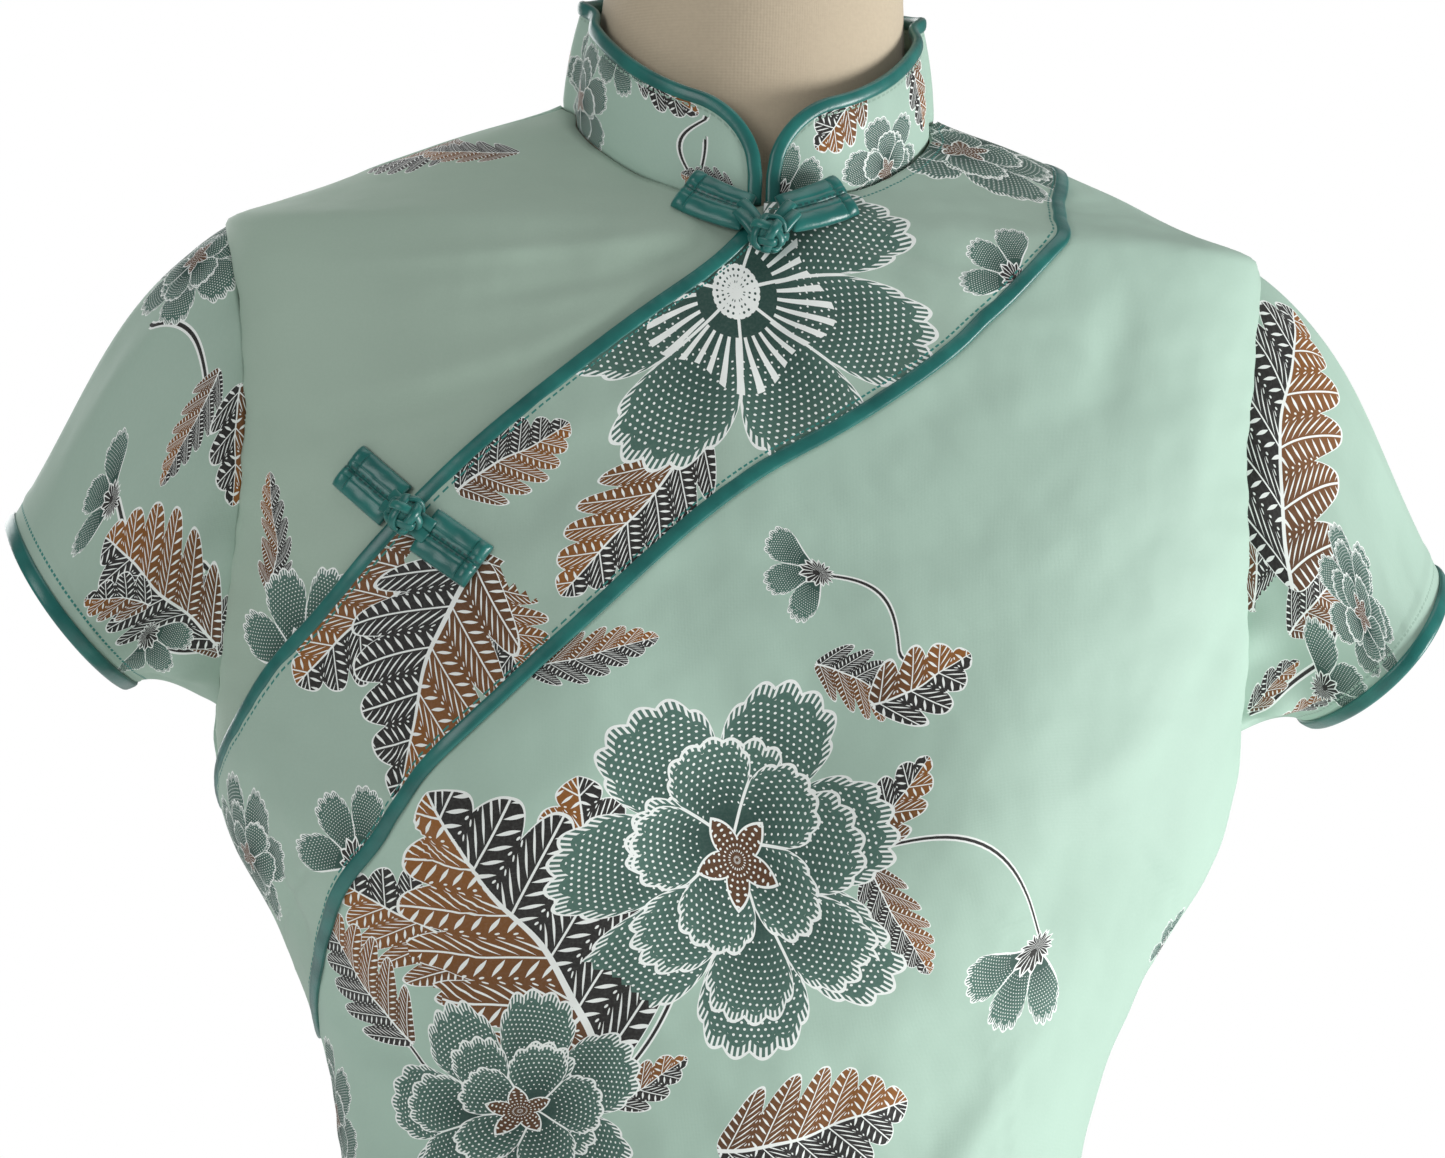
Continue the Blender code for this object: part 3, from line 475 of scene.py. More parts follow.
@dataclass
class FlatCut:
    """Distances over the cloth from the middle of a panel and from the hem, as if it lay flat."""

    middle: float
    columns: int = 93
    rings: int = 197
    angles: Array = field(init=False)
    levels: Array = field(init=False)
    across: Array = field(init=False)
    upward: Array = field(init=False)

    def __post_init__(self) -> None:
        """Measures the cloth along rings and columns."""
        self.angles = self.middle + np.linspace(-92, 92, self.columns)
        self.levels = np.linspace(BODY.hem_level, BODY.neck_level, self.rings)
        points = BODY.point(*np.meshgrid(self.angles, self.levels), 0.0, False)
        steps = np.linalg.norm(np.diff(points, axis=1), axis=-1)
        self.across = np.concatenate([np.zeros((len(self.levels), 1)), np.cumsum(steps, axis=1)], axis=1)
        centre = self.columns // 2
        self.across -= self.across[:, centre : centre + 1]
        rises = np.linalg.norm(np.diff(points, axis=0), axis=-1)
        self.upward = np.concatenate([np.zeros((1, len(self.angles))), np.cumsum(rises, axis=0)], axis=0)

    def at(self, angle: Array, level: Array) -> Array:
        """Flat places of angles and levels, in metres, in the last axis.

        Args:
            angle: Angles round the body.
            level: Levels of the cloth.

        Returns:
            The flat places.
        """
        wide, high = self.angles[1] - self.angles[0], self.levels[1] - self.levels[0]
        u = np.clip((np.asarray(angle, float) - self.angles[0]) / wide, 0, self.columns - 1.001)
        v = np.clip((np.asarray(level, float) - self.levels[0]) / high, 0, self.rings - 1.001)
        i, j = v.astype(int), u.astype(int)
        s, t = u - j, v - i
        found = []
        for grid in (self.across, self.upward):
            low = grid[i, j] * (1 - s) + grid[i, j + 1] * s
            high = grid[i + 1, j] * (1 - s) + grid[i + 1, j + 1] * s
            found.append(low * (1 - t) + high * t)
        return np.stack(found, -1)


class Motif(Enum):
    """What is printed, by the layer that carries its own coordinates."""

    FLOWER = "flower"
    LEAF = "leaf"
    LEAF_UNDER = "leaf_under"
    SMALL_LEAF = "small_leaf"
    BUD = "bud"
    STEM = "stem"


@dataclass(frozen=True)
class Print:
    """One printed motif, from its root to its tip, in angle and level or in the piece's own two shares."""

    kind: Motif
    root: Place
    tip: Place
    width: float = 1.0
    bend: float = 0.0


def printed(*rows: tuple) -> tuple[Print, ...]:
    """Motifs from rows: kind, root's two numbers, tip's two, and where they aren't 1 and 0 width and bend."""
    return tuple(Print(kind, (a, b), (c, d), *rest) for kind, a, b, c, d, *rest in rows)


FLOWER, LEAF, LEAF_UNDER, BUD, STEM = Motif.FLOWER, Motif.LEAF, Motif.LEAF_UNDER, Motif.BUD, Motif.STEM
# the coordinate of a layer where it draws nothing
FAR = 9.0
# flowers drawn open, with rays round a white middle, have their coordinates shifted this far
OPEN_SHIFT = 4.0
# how far round its root each motif's coordinates reach, in its own length
REACH = {Motif.FLOWER: 1.25, Motif.LEAF: 1.1, Motif.LEAF_UNDER: 1.1, Motif.BUD: 1.25}
# leaves shorter than this, in metres, are drawn with fewer and larger strokes
SMALL = 0.042
# half the width, as a share of its length, that a leaf needs, and half that of a stem in metres
LEAF_HALF = 0.36
STEM_HALF = 0.006

FRONT_PRINTS = printed(
    (FLOWER, -3, 1.131, -27, 1.15),
    (FLOWER, -41.5, 1.043, -26, 1.082),
    (FLOWER, -87, 1.03, -74, 1.035),
    (LEAF, -24.8, 1.056, -41.5, 1.156, 1.3),
    (LEAF_UNDER, -26, 1.08, -24, 1.162, 1.1),
    (LEAF_UNDER, -37, 1.085, -58, 1.122),
    (LEAF, -57, 1.063, -66, 1.108, -0.9),
    (LEAF, 16.5, 1.193, 31, 1.212, 1.1),
    (LEAF_UNDER, 8.5, 1.209, 22.5, 1.192, -1.15),
    (LEAF, 17, 1.139, 23.5, 1.174, -0.85),
    (LEAF_UNDER, 16.8, 1.135, 28.5, 1.096, 0.8),
    (LEAF, -24, 1.047, -9.8, 1.064, 0.95),
    (LEAF_UNDER, -4, 1.032, 31.5, 1.048, 1.2),
    (LEAF, -34, 1.202, -16, 1.216, 0.7),
    (BUD, 9.8, 1.246, -0.5, 1.24, 1.05),
    (BUD, 45, 1.106, 43.5, 1.073, 0.75),
    (BUD, 78, 1.1, 70, 1.112),
    (STEM, -9.5, 1.125, -24.6, 1.05, 1, 0.1),
    (STEM, 9.8, 1.245, 21, 1.213, 1, 0.3),
    (STEM, 15, 1.137, 45, 1.108, 1, 0.32),
    (STEM, -58, 1.063, -44, 1.055, 1, -0.2),
    (FLOWER, 30, 0.91, 48, 0.93),
    (LEAF, 18, 0.93, 2, 0.99, 1.2),
    (LEAF_UNDER, 40, 0.87, 56, 0.81, -1.1),
    (BUD, 8, 0.87, -4, 0.845),
    (STEM, 24, 0.895, 8, 0.87, 1, 0.2),
    (FLOWER, -34, 0.77, -52, 0.75),
    (LEAF, -40, 0.825, -58, 0.89, 1.2),
    (LEAF_UNDER, -20, 0.74, -2, 0.69, 1.1),
    (STEM, -30, 0.74, -24, 0.63, 1, -0.15),
    (BUD, -24, 0.63, -22, 0.59),
    (FLOWER, 36, 0.58, 52, 0.615),
    (LEAF, 22, 0.61, 4, 0.65, -1.1),
    (LEAF_UNDER, 48, 0.54, 68, 0.49, 1.1),
    (LEAF, -50, 0.56, -66, 0.61),
    (FLOWER, -60, 0.49, -46, 0.47),
    (LEAF, -8, 0.8, -20, 0.87),
    (FLOWER, 68, 0.73, 82, 0.745),
    (LEAF_UNDER, 60, 0.77, 48, 0.84, -1),
    (BUD, 20, 0.74, 10, 0.765),
    (STEM, 58, 0.72, 20, 0.74, 1, 0.2),
    (LEAF, -74, 0.7, -62, 0.63, 1.1),
    (BUD, 2, 0.52, -8, 0.54),
    (STEM, 24, 0.56, 2, 0.52, 1, -0.2),
    (LEAF, 74, 0.92, 64, 1),
)
BAND_PRINTS = printed(
    (FLOWER, -6, 1.364, 27, 1.31, 1, 1),
    (FLOWER, 72, 1.395, 56, 1.386),
    (FLOWER, -77, 1.126, -66, 1.14),
    (BUD, 47, 1.356, 42, 1.374),
    (BUD, -56, 1.126, -58.5, 1.152, 0.8),
    (LEAF, -40.5, 1.242, -49, 1.15, 1.15),
    (LEAF_UNDER, -44, 1.248, -60.5, 1.187, -1.1),
    (LEAF_UNDER, -42, 1.245, -33, 1.193, 1.2),
    (LEAF, -45, 1.266, -33.5, 1.299, -1.15),
    (LEAF_UNDER, -11.5, 1.306, -29.5, 1.229, -0.95),
    (STEM, -10, 1.324, -12, 1.304, 1, 0.05),
    (STEM, -55.5, 1.127, -46, 1.105, 1, 0.1),
    (LEAF, 84, 1.39, 66, 1.399, 1.1),
)
CHEST_PRINTS = printed(
    (BUD, -61, 1.196, -65, 1.233),
    (LEAF_UNDER, -65.5, 1.22, -66.5, 1.266, 0.7),
    (LEAF, -68, 1.39, -86, 1.383, 0.8),
    (LEAF_UNDER, -80, 1.387, -89.5, 1.374, -1),
)
BACK_PRINTS = printed(
    (FLOWER, 165, 1.24, 185, 1.26),
    (LEAF, 178, 1.21, 196, 1.13, 1.2),
    (LEAF_UNDER, 150, 1.27, 132, 1.32, 1.1),
    (BUD, 205, 1.29, 214, 1.315),
    (STEM, 184, 1.26, 205, 1.29, 1, 0.2),
    (FLOWER, 205, 1.06, 224, 1.05),
    (LEAF_UNDER, 196, 1.09, 178, 1.13, -1),
    (BUD, 222, 1.18, 230, 1.21),
    (STEM, 210, 1.1, 222, 1.18, 1, 0.2),
    (LEAF, 140, 1.2, 126, 1.15, 1.1),
    (LEAF, 190, 1.03, 170, 0.97, -1.2),
    (FLOWER, 150, 0.9, 134, 0.92),
    (LEAF_UNDER, 160, 0.87, 182, 0.82, 1.2),
    (BUD, 140, 1.07, 134, 1.1),
    (STEM, 148, 0.95, 140, 1.07, 1, 0.1),
    (FLOWER, 214, 0.74, 198, 0.71),
    (LEAF, 222, 0.79, 232, 0.87, 1.1),
    (FLOWER, 152, 0.58, 168, 0.6),
    (LEAF, 164, 0.64, 178, 0.7, 1.1),
    (LEAF_UNDER, 190, 0.54, 214, 0.48, -1.1),
    (BUD, 180, 0.5, 172, 0.47),
)
# on a sleeve: degrees round the armhole from the shoulder, and the share of the way to the hem
SLEEVE_PRINTS = {
    -1: printed(
        (FLOWER, 18, 0.1, 44, 0.12),
        (LEAF, 68, 0.02, 98, 0.06, 1.2),
        (LEAF_UNDER, 62, 0.1, 84, 0.4, -0.9),
        (LEAF, 138, 0.06, 84, 0.72, -0.85),
        (LEAF_UNDER, 142, 0.04, 112, 0.36, 1.1),
        (LEAF, 118, 0.56, 96, 0.86, 0.7),
        (BUD, 130, 0.62, 150, 0.52, 0.9),
        (STEM, 34, 0.3, 64, 0.16, 1, 0.15),
        (BUD, 74, 0.62, 60, 0.72),
        (STEM, 76, 0.6, 112, 0.2, 1, -0.15),
        (STEM, 140, 0.2, 130, 0.6, 1, 0.2),
        (FLOWER, 300, 0.45, 322, 0.45),
        (LEAF, 280, 0.35, 246, 0.6, 1.1),
    ),
    1: printed(
        (LEAF, 106, 0.3, 16, 0.12, 1.1),
        (LEAF_UNDER, 116, 0.06, 58, 0.04, -0.8),
        (LEAF_UNDER, 120, 0.34, 76, 0.62, 0.7),
        (FLOWER, 94, 0.7, 112, 0.72),
        (BUD, 136, 0.72, 116, 0.92),
        (LEAF, 150, 0.1, 128, 0.46, 0.6),
        (LEAF, 160, 0.4, 138, 0.86, -0.6),
        (STEM, 150, 0.16, 100, 0.6, 1, 0.1),
        (FLOWER, 296, 0.4, 318, 0.4),
        (LEAF, 276, 0.45, 244, 0.62, 1.1),
    ),
}
# on the collar: degrees from the front, and metres above the neck seam
COLLAR_PRINTS = printed(
    (FLOWER, -70, 0.012, -52, 0.013),
    (BUD, -50, 0.04, -46, 0.022, 1.1),
    (LEAF, -44, 0.038, -20, 0.027, 0.9),
    (STEM, -36, 0.033, -19, 0.004, 1, 0.35),
    (STEM, -17.5, 0.027, -19, 0.004, 1, -0.35),
    (LEAF_UNDER, -8, 0.003, -24, 0.007, 1.1),
    (BUD, 4, 0.002, 8, 0.023, 0.8),
    (LEAF, 33, 0.036, 14, 0.02, 1.5),
    (FLOWER, 40, 0.003, 27, 0.018),
    (LEAF, 60, 0.04, 62, 0.008),
    (FLOWER, 120, 0.018, 138, 0.02),
    (LEAF, 160, 0.008, 188, 0.029, 1.1),
    (BUD, 208, 0.016, 226, 0.025),
    (LEAF_UNDER, 250, 0.032, 272, 0.013, 1.1),
)


def lay_print(
    mesh: bpy.types.Mesh, flat: Array, rows: Array, prints: Sequence[Print], to_flat: Callable[..., Array]
) -> None:
    """Gives a mesh the coordinates of its cloth, its stitch rows and its motifs, as UV layers.

    Args:
        mesh: The finished mesh.
        flat: Flat place of every vertex, in metres.
        rows: Place along the nearest stitch row and distance off it, of every vertex.
        prints: The motifs on this piece.
        to_flat: Turns a motif's two numbers into a flat place.
    """
    corners = np.empty(len(mesh.loops), int)
    mesh.loops.foreach_get("vertex_index", corners)
    places = flat[corners]
    face_of = np.repeat(np.arange(len(mesh.polygons)), [p.loop_total for p in mesh.polygons])
    layers = {kind: np.full((len(places), 2), FAR) for kind in Motif}
    for item in prints:
        root, tip = (np.asarray(to_flat(*place), float).reshape(2) for place in (item.root, item.tip))
        ahead = tip - root
        size = float(np.hypot(*ahead))
        ahead = ahead / size
        kind = Motif.SMALL_LEAF if item.kind is Motif.LEAF and size < SMALL else item.kind
        side = np.array([-ahead[1], ahead[0]])
        away = places - root
        along, off = away @ ahead / size, away @ side / size
        if item.kind is Motif.FLOWER:
            near = np.hypot(along, off) < REACH[item.kind]
            along = along + OPEN_SHIFT * (item.bend > 0)
        elif item.kind is Motif.STEM:
            off = (off - item.bend * np.sin(math.pi * np.clip(along, 0, 1))) * size
            near = (np.abs(off) < STEM_HALF) & (along > -0.03) & (along < 1.03)
        else:
            off = off / item.width
            near = np.hypot(along, off) < REACH[item.kind]
            if item.kind in (Motif.LEAF, Motif.LEAF_UNDER):
                near &= (np.abs(off) < LEAF_HALF) & (along > -0.06) & (along < 1.06)
        chosen = np.zeros(len(mesh.polygons), bool)
        chosen[face_of[near]] = True
        inside = chosen[face_of]
        layers[kind][inside] = np.stack([along, off], -1)[inside]
    named = [("cloth", places), ("stitch", rows[corners])]
    named += [(kind.value, grid) for kind, grid in layers.items()]
    for name, values in named:
        mesh.uv_layers.new(name=name).data.foreach_set("uv", values.astype(np.float32).ravel())


# Shader maths as expressions


class Value:
    """A number on a surface, as a node's output, that takes Python's operators."""

    def __init__(self, paint: "Paint", socket: bpy.types.NodeSocket) -> None:
        """Keeps the socket and the tree it is in."""
        self.paint, self.socket = paint, socket

    def _do(self, operation: str, *others: "Value | float") -> "Value":
        """The result of one Math node."""
        return self.paint.maths(operation, self, *others)

    def __add__(self, other: "Value | float") -> "Value":
        """Sum."""
        return self._do("ADD", other)

    __radd__ = __add__

    def __sub__(self, other: "Value | float") -> "Value":
        """Difference."""
        return self._do("SUBTRACT", other)

    def __rsub__(self, other: float) -> "Value":
        """Difference from a number."""
        return self.paint.maths("SUBTRACT", other, self)

    def __mul__(self, other: "Value | float") -> "Value":
        """Product."""
        return self._do("MULTIPLY", other)

    __rmul__ = __mul__

    def __truediv__(self, other: "Value | float") -> "Value":
        """Quotient."""
        return self._do("DIVIDE", other)

    def __pow__(self, other: float) -> "Value":
        """Power."""
        return self._do("POWER", other)

    def __gt__(self, other: "Value | float") -> "Value":
        """One where this is greater, otherwise zero."""
        return self._do("GREATER_THAN", other)

    def __lt__(self, other: "Value | float") -> "Value":
        """One where this is less, otherwise zero."""
        return self._do("LESS_THAN", other)

    def __abs__(self) -> "Value":
        """Size without sign."""
        return self._do("ABSOLUTE")

    def sin(self) -> "Value":
        """Sine."""
        return self._do("SINE")

    def fract(self) -> "Value":
        """What is left after the whole number."""
        return self._do("FRACT")

    def floor(self) -> "Value":
        """The whole number below."""
        return self._do("FLOOR")

    def root(self) -> "Value":
        """Square root."""
        return self._do("SQRT")

    def most(self, other: "Value | float") -> "Value":
        """The greater of two."""
        return self._do("MAXIMUM", other)

    def least(self, other: "Value | float") -> "Value":
        """The lesser of two."""
        return self._do("MINIMUM", other)

    def kept(self) -> "Value":
        """This, held between zero and one."""
        return self.most(0.0).least(1.0)


class Paint:
    """Builds one material's nodes."""

    def __init__(self, name: str) -> None:
        """Starts a material with its shader.

        Args:
            name: The material's name.
        """
        self.material = bpy.data.materials.new(name)
        self.material.use_nodes = True
        self.tree = self.material.node_tree
        self.shader = self.tree.nodes["Principled BSDF"]

    def node(self, kind: str, settings: dict | None = None, inputs: dict | None = None) -> bpy.types.Node:
        """Any node.

        Args:
            kind: The node's type.
            settings: Its own settings, set first.
            inputs: Values or links for its sockets, by name or number.

        Returns:
            The node.
        """
        made = self.tree.nodes.new(kind)
        for key, value in (settings or {}).items():
            setattr(made, key, value)
        for key, value in (inputs or {}).items():
            self.feed(made.inputs[key], value)
        return made

    def feed(self, socket: bpy.types.NodeSocket, value: object) -> None:
        """Sets a socket, or links it.

        Args:
            socket: The input.
            value: A number, a colour, a value or an output.
        """
        if isinstance(value, Value):
            self.tree.links.new(value.socket, socket)
        elif isinstance(value, bpy.types.NodeSocket):
            self.tree.links.new(value, socket)
        elif isinstance(value, tuple) and len(value) == 3 and socket.type == "RGBA":
            socket.default_value = (*value, 1.0)
        else:
            socket.default_value = value

    def maths(self, operation: str, *values: "Value | float") -> Value:
        """The result of a Math node."""
        made = self.node("ShaderNodeMath", {"operation": operation}, dict(enumerate(values)))
        return Value(self, made.outputs[0])

    def layer(self, name: str) -> tuple[Value, Value, bpy.types.NodeSocket]:
        """The two coordinates of a UV layer, and both as a vector.

        Args:
            name: The layer's name.

        Returns:
            The three outputs.
        """
        uv = self.node("ShaderNodeUVMap", {"uv_map": name}).outputs[0]
        parts = self.node("ShaderNodeSeparateXYZ", None, {0: uv}).outputs
        return Value(self, parts[0]), Value(self, parts[1]), uv

    def noise(self, vector: bpy.types.NodeSocket, scale: float, detail: float = 2.0) -> Value:
        """Soft uneven values about one half."""
        inputs = {"Vector": vector, "Scale": scale, "Detail": detail}
        return Value(self, self.node("ShaderNodeTexNoise", None, inputs).outputs[0])

    def object_place(self) -> bpy.types.NodeSocket:
        """Object coordinates."""
        return self.node("ShaderNodeTexCoord").outputs["Object"]

    def mix(self, share: "Value | float", low: object, high: object) -> bpy.types.NodeSocket:
        """Two colours mixed.

        Args:
            share: How much of the second.
            low: The first colour.
            high: The second.

        Returns:
            The mixed colour.
        """
        made = self.node("ShaderNodeMix", {"data_type": "RGBA", "clamp_factor": True})
        for index, value in ((0, share), (6, low), (7, high)):
            self.feed(made.inputs[index], value)
        return made.outputs[2]

    def bump(self, height: Value) -> None:
        """Feeds a relief, in metres, to the shader."""
        inputs = {"Height": height, "Strength": 1.0, "Distance": 1.0}
        self.feed(self.shader.inputs["Normal"], self.node("ShaderNodeBump", None, inputs).outputs[0])

    def finish(self, colour: object, roughness: object, **uniform: float) -> bpy.types.Material:
        """Feeds colour and roughness, and sets what is the same all over.

        Args:
            colour: The surface's colour.
            roughness: Its roughness.
            uniform: Other inputs by name, the same all over.

        Returns:
            The material.
        """
        self.feed(self.shader.inputs["Base Color"], colour)
        self.feed(self.shader.inputs["Roughness"], roughness)
        for name, value in uniform.items():
            self.shader.inputs[name.replace("_", " ").title().replace("Ior", "IOR")].default_value = value
        return self.material


@dataclass(frozen=True)
class PrintedCotton:
    """Mint cotton with flowers, leaves, buds and stems in a resist-dyed manner."""

    name: str
    ground: Colour = (0.415, 0.585, 0.487)
    thread: Colour = (0.300, 0.440, 0.360)
    line: Colour = (0.86, 0.90, 0.87)
    petal_dark: Colour = (0.010, 0.052, 0.040)
    petal_light: Colour = (0.072, 0.165, 0.130)
    brown: Colour = (0.255, 0.088, 0.005)
    brown_dark: Colour = (0.095, 0.034, 0.005)
    black: Colour = (0.008, 0.007, 0.006)
    # spacing of the threads, then length, half width and drawn share of a stitch
    thread_pitch: float = 0.0005
    stitch_pitch: float = 0.0025
    stitch_half: float = 0.00035
    stitch_share: float = 0.64
    # each ring of a flower's petals: how many, how far out, how far turned, and its middle
    petal_rings: tuple = (
        (7, 0.98, 0.15, 0.0, 0.0),
        (6, 0.78, 0.60, 0.09, -0.08),
        (5, 0.54, 0.20, -0.05, 0.07),
    )
    # half the angle of a bud's fan, in radians
    fan_half: float = 1.18

    def build(self) -> bpy.types.Material:
        """The whole material.

        Returns:
            The material.
        """
        p = Paint(self.name)
        x, y, cloth = p.layer("cloth")
        drift = p.noise(cloth, 9.0, 3.0)
        deep = tuple(c * 0.90 for c in self.ground)
        colour = p.mix((drift - 0.3) * 1.6, deep, self.ground)
        colour = self.stem(p, colour)
        colour = self.leaf(p, colour, Motif.LEAF_UNDER)
        colour = self.leaf(p, colour, Motif.LEAF)
        colour = self.leaf(p, colour, Motif.SMALL_LEAF, 1.9)
        colour = self.bud(p, colour)
        colour = self.flower(p, colour, drift)
        along, row, _ = p.layer("stitch")
        drawn = (along * (1 / self.stitch_pitch)).fract() < self.stitch_share
        stitch = (abs(row) < self.stitch_half) * drawn
        colour = p.mix(stitch, colour, self.thread)
        thread = 2 * math.pi / self.thread_pitch
        weave = (x * thread).sin() + (y * thread).sin()
        slub = p.noise(cloth, 900.0, 1.0)
        soft = p.noise(cloth, 24.0, 2.0)
        p.bump(weave * 0.000006 + slub * 0.000025 + soft * 0.0030 - stitch * 0.00010)
        fibre = p.mix((slub - 0.4) * 0.07, colour, self.line)
        return p.finish(fibre, drift * 0.12 + 0.62, sheen_weight=0.05, sheen_roughness=0.5)

    def stem(self, p: Paint, under: object) -> object:
        """Thin dark stems between two pale lines.

        Args:
            p: The material's nodes.
            under: The colour below the print.

        Returns:
            The colour with it.
        """
        along, off, _ = p.layer(Motif.STEM.value)
        off = abs(off)
        inside = (off < 0.00125) * (along < 1.5)
        return p.mix(inside, under, p.mix(off < 0.00055, self.line, self.black))

    def leaf(self, p: Paint, under: object, kind: Motif, coarse: float = 1.0) -> object:
        """Leaves half brown and half black, with tear-shaped veins and rows of dots.

        Args:
            p: The material's nodes.
            under: The colour below the print.
            kind: The layer to draw in.
            coarse: How much larger the strokes are.

        Returns:
            The colour with it.
        """
        x, y, _ = p.layer(kind.value)
        y = y + (x * 5.0).sin() * 0.030 + (x * 17.0).sin() * 0.004
        side, run = abs(y), x.kept()
        pitch, stroke = 0.175 * coarse**0.8, 0.036 * coarse
        lobe = (x - side * 0.85) * (1 / pitch) + 0.25
        g = abs(lobe.fract() - 0.5) * 2.0
        half = ((run**0.85 * math.pi).sin().most(0.0)) ** 0.62 * (1.0 - g**2.6 * 0.42) * 0.285
        margin = half - side
        inside = (margin > 0.0) * (x > 0.0) * (x < 1.0)
        phase = (side * 1.2 - g * (pitch * 0.41)) * (1 / stroke)
        taper = (((g - 0.09) * 1.30).kept() * math.pi).sin()
        tear = abs(phase.fract() - 0.5) < taper * 0.155
        veins = (g < 0.045).most(side < (1.0 - run) * 0.006 + 0.0030)
        rim = margin < 0.0085 * coarse
        spot, gap = ((phase + 0.5).fract() - 0.5) * stroke, (g - 0.90) * (pitch * 0.5)
        dots = spot * spot + gap * gap < (0.0048 * coarse) ** 2
        white = tear.most(veins).most(rim).most(dots)
        brown = p.mix(run * 1.2 - 0.1, self.brown_dark, self.brown)
        ink = p.mix(y > 0.0, self.black, brown)
        return p.mix(inside, under, p.mix(white, ink, self.line))

    def petals(self, p: Paint, x: Value, y: Value, count: int, radius: float, turn: float) -> tuple[Value, ...]:
        """One ring of scalloped petals: where it is, where it is white, and how far out in the petal.

        Args:
            p: The material's nodes.
            x: First coordinate from the ring's middle.
            y: Second one.
            count: How many petals.
            radius: How far out they reach.
            turn: How far they are turned, in petals.

        Returns:
            The three values.
        """
        r = (x * x + y * y).root()
        around = p.maths("ARCTAN2", y, x)
        phase = around * (count / (2 * math.pi)) + turn
        cell = phase.floor()
        a = phase - cell - 0.5
        uneven = (cell * 12.9898 + turn * 7.0).sin()
        wide = abs(a) * 2.0
        scallop = abs((a * (math.pi * 6)).sin()) * (radius * 0.050)
        edge = (1.0 - wide**3.0 * 0.40) * (uneven * 0.07 + 0.93) * radius + scallop
        depth = edge - r
        inside = depth > 0.0
        arc = 2 * math.pi / count
        border = (0.5 - abs(a)) * arc * r
        rim = (depth < 0.019).most(border < 0.008)
        comb = (depth < radius * 0.075) * ((around * (radius * 34.0)).fract() < 0.45)
        pitch = 0.036
        row = r * (1 / pitch)
        place = a * arc * row + row.floor() * 0.5
        du, dv = row.fract() - 0.5, place.fract() - 0.5
        size = r * (0.040 / radius) + 0.008
        dots = (du * du + dv * dv < size) * (depth > radius * 0.10) * (r > radius * 0.34)
        return inside, rim.most(comb).most(dots), r / edge.most(0.01)

    def flower(self, p: Paint, under: object, drift: Value) -> object:
        """Open flowers of three rings of petals round a dark star.

        Args:
            p: The material's nodes.
            under: The colour below the print.
            drift: Slow unevenness of the dye.

        Returns:
            The colour with it.
        """
        x, y, _ = p.layer(Motif.FLOWER.value)
        rayed = (x > 2.5) * (x < 6.0)
        x = x - rayed * OPEN_SHIFT
        x, y = x + (y * 4.0).sin() * 0.05, y + (x * 3.4 + 1.0).sin() * 0.05
        colour = under
        for count, radius, turn, dx, dy in self.petal_rings:
            inside, white, out = self.petals(p, x + dx, y + dy, count, radius, turn)
            shade = ((out - 0.25) * 1.25).kept() * (drift * 0.5 + 0.75)
            ink = p.mix(white, p.mix(shade, self.petal_dark, self.petal_light), self.line)
            colour = p.mix(inside * (1.0 - rayed * (1.0 if radius < 0.9 else 0.0)), colour, ink)
        r = (x * x + y * y).root()
        around = p.maths("ARCTAN2", y, x)
        point = abs((around * (5 / (2 * math.pi))).fract() - 0.5) * 2.0
        star = (0.23 - point * 0.13 - r) * (1.0 - rayed)
        colour = p.mix(star > -0.018, colour, p.mix(rayed, self.line, colour))
        hole = ((r * 34.0).fract() - 0.5) ** 2.0 + ((around * 3.5).fract() - 0.5) ** 2.0 < 0.05
        colour = p.mix(star > 0.0, colour, p.mix(hole, self.brown_dark, self.line))
        ray = (around * (34 / (2 * math.pi)) + (r * 9.0).sin() * 0.2).fract() < 0.40
        rays = ray * (r > 0.22) * (r < 0.46 + (around * 5.0).sin() * 0.06)
        return p.mix(rayed * rays.most((r < 0.13) * (hole < 0.5)), colour, self.line)

    def bud(self, p: Paint, under: object) -> object:
        """Half-open buds: a fan of petals over a dark calyx.

        Args:
            p: The material's nodes.
            under: The colour below the print.

        Returns:
            The colour with it.
        """
        x, y, _ = p.layer(Motif.BUD.value)
        x, y = x + (y * 5.0).sin() * 0.03, y + (x * 4.0).sin() * 0.04
        r = (x * x + y * y).root()
        around = p.maths("ARCTAN2", y, x)
        inside, white, out = self.petals(p, x, y, 8, 0.98, 0.5)
        fan = (abs(around) < self.fan_half) * inside
        sides = abs(abs(around) - self.fan_half) * r < 0.022
        ink = p.mix(((out - 0.2) * 1.3).kept(), self.petal_dark, self.petal_light)
        colour = p.mix(fan, under, p.mix(white.most(sides), ink, self.line))
        cup_x = x - 0.08
        cup = (cup_x * cup_x + y * y * 1.6).root()
        teeth = abs((around * 2.3).fract() - 0.5) * 0.16
        calyx = 0.17 + teeth - cup
        colour = p.mix(calyx > -0.030, colour, self.line)
        stroke = ((around * 4.0).fract() < 0.22) * (cup > 0.05)
        return p.mix(calyx > 0.0, colour, p.mix(stroke, self.black, self.line))


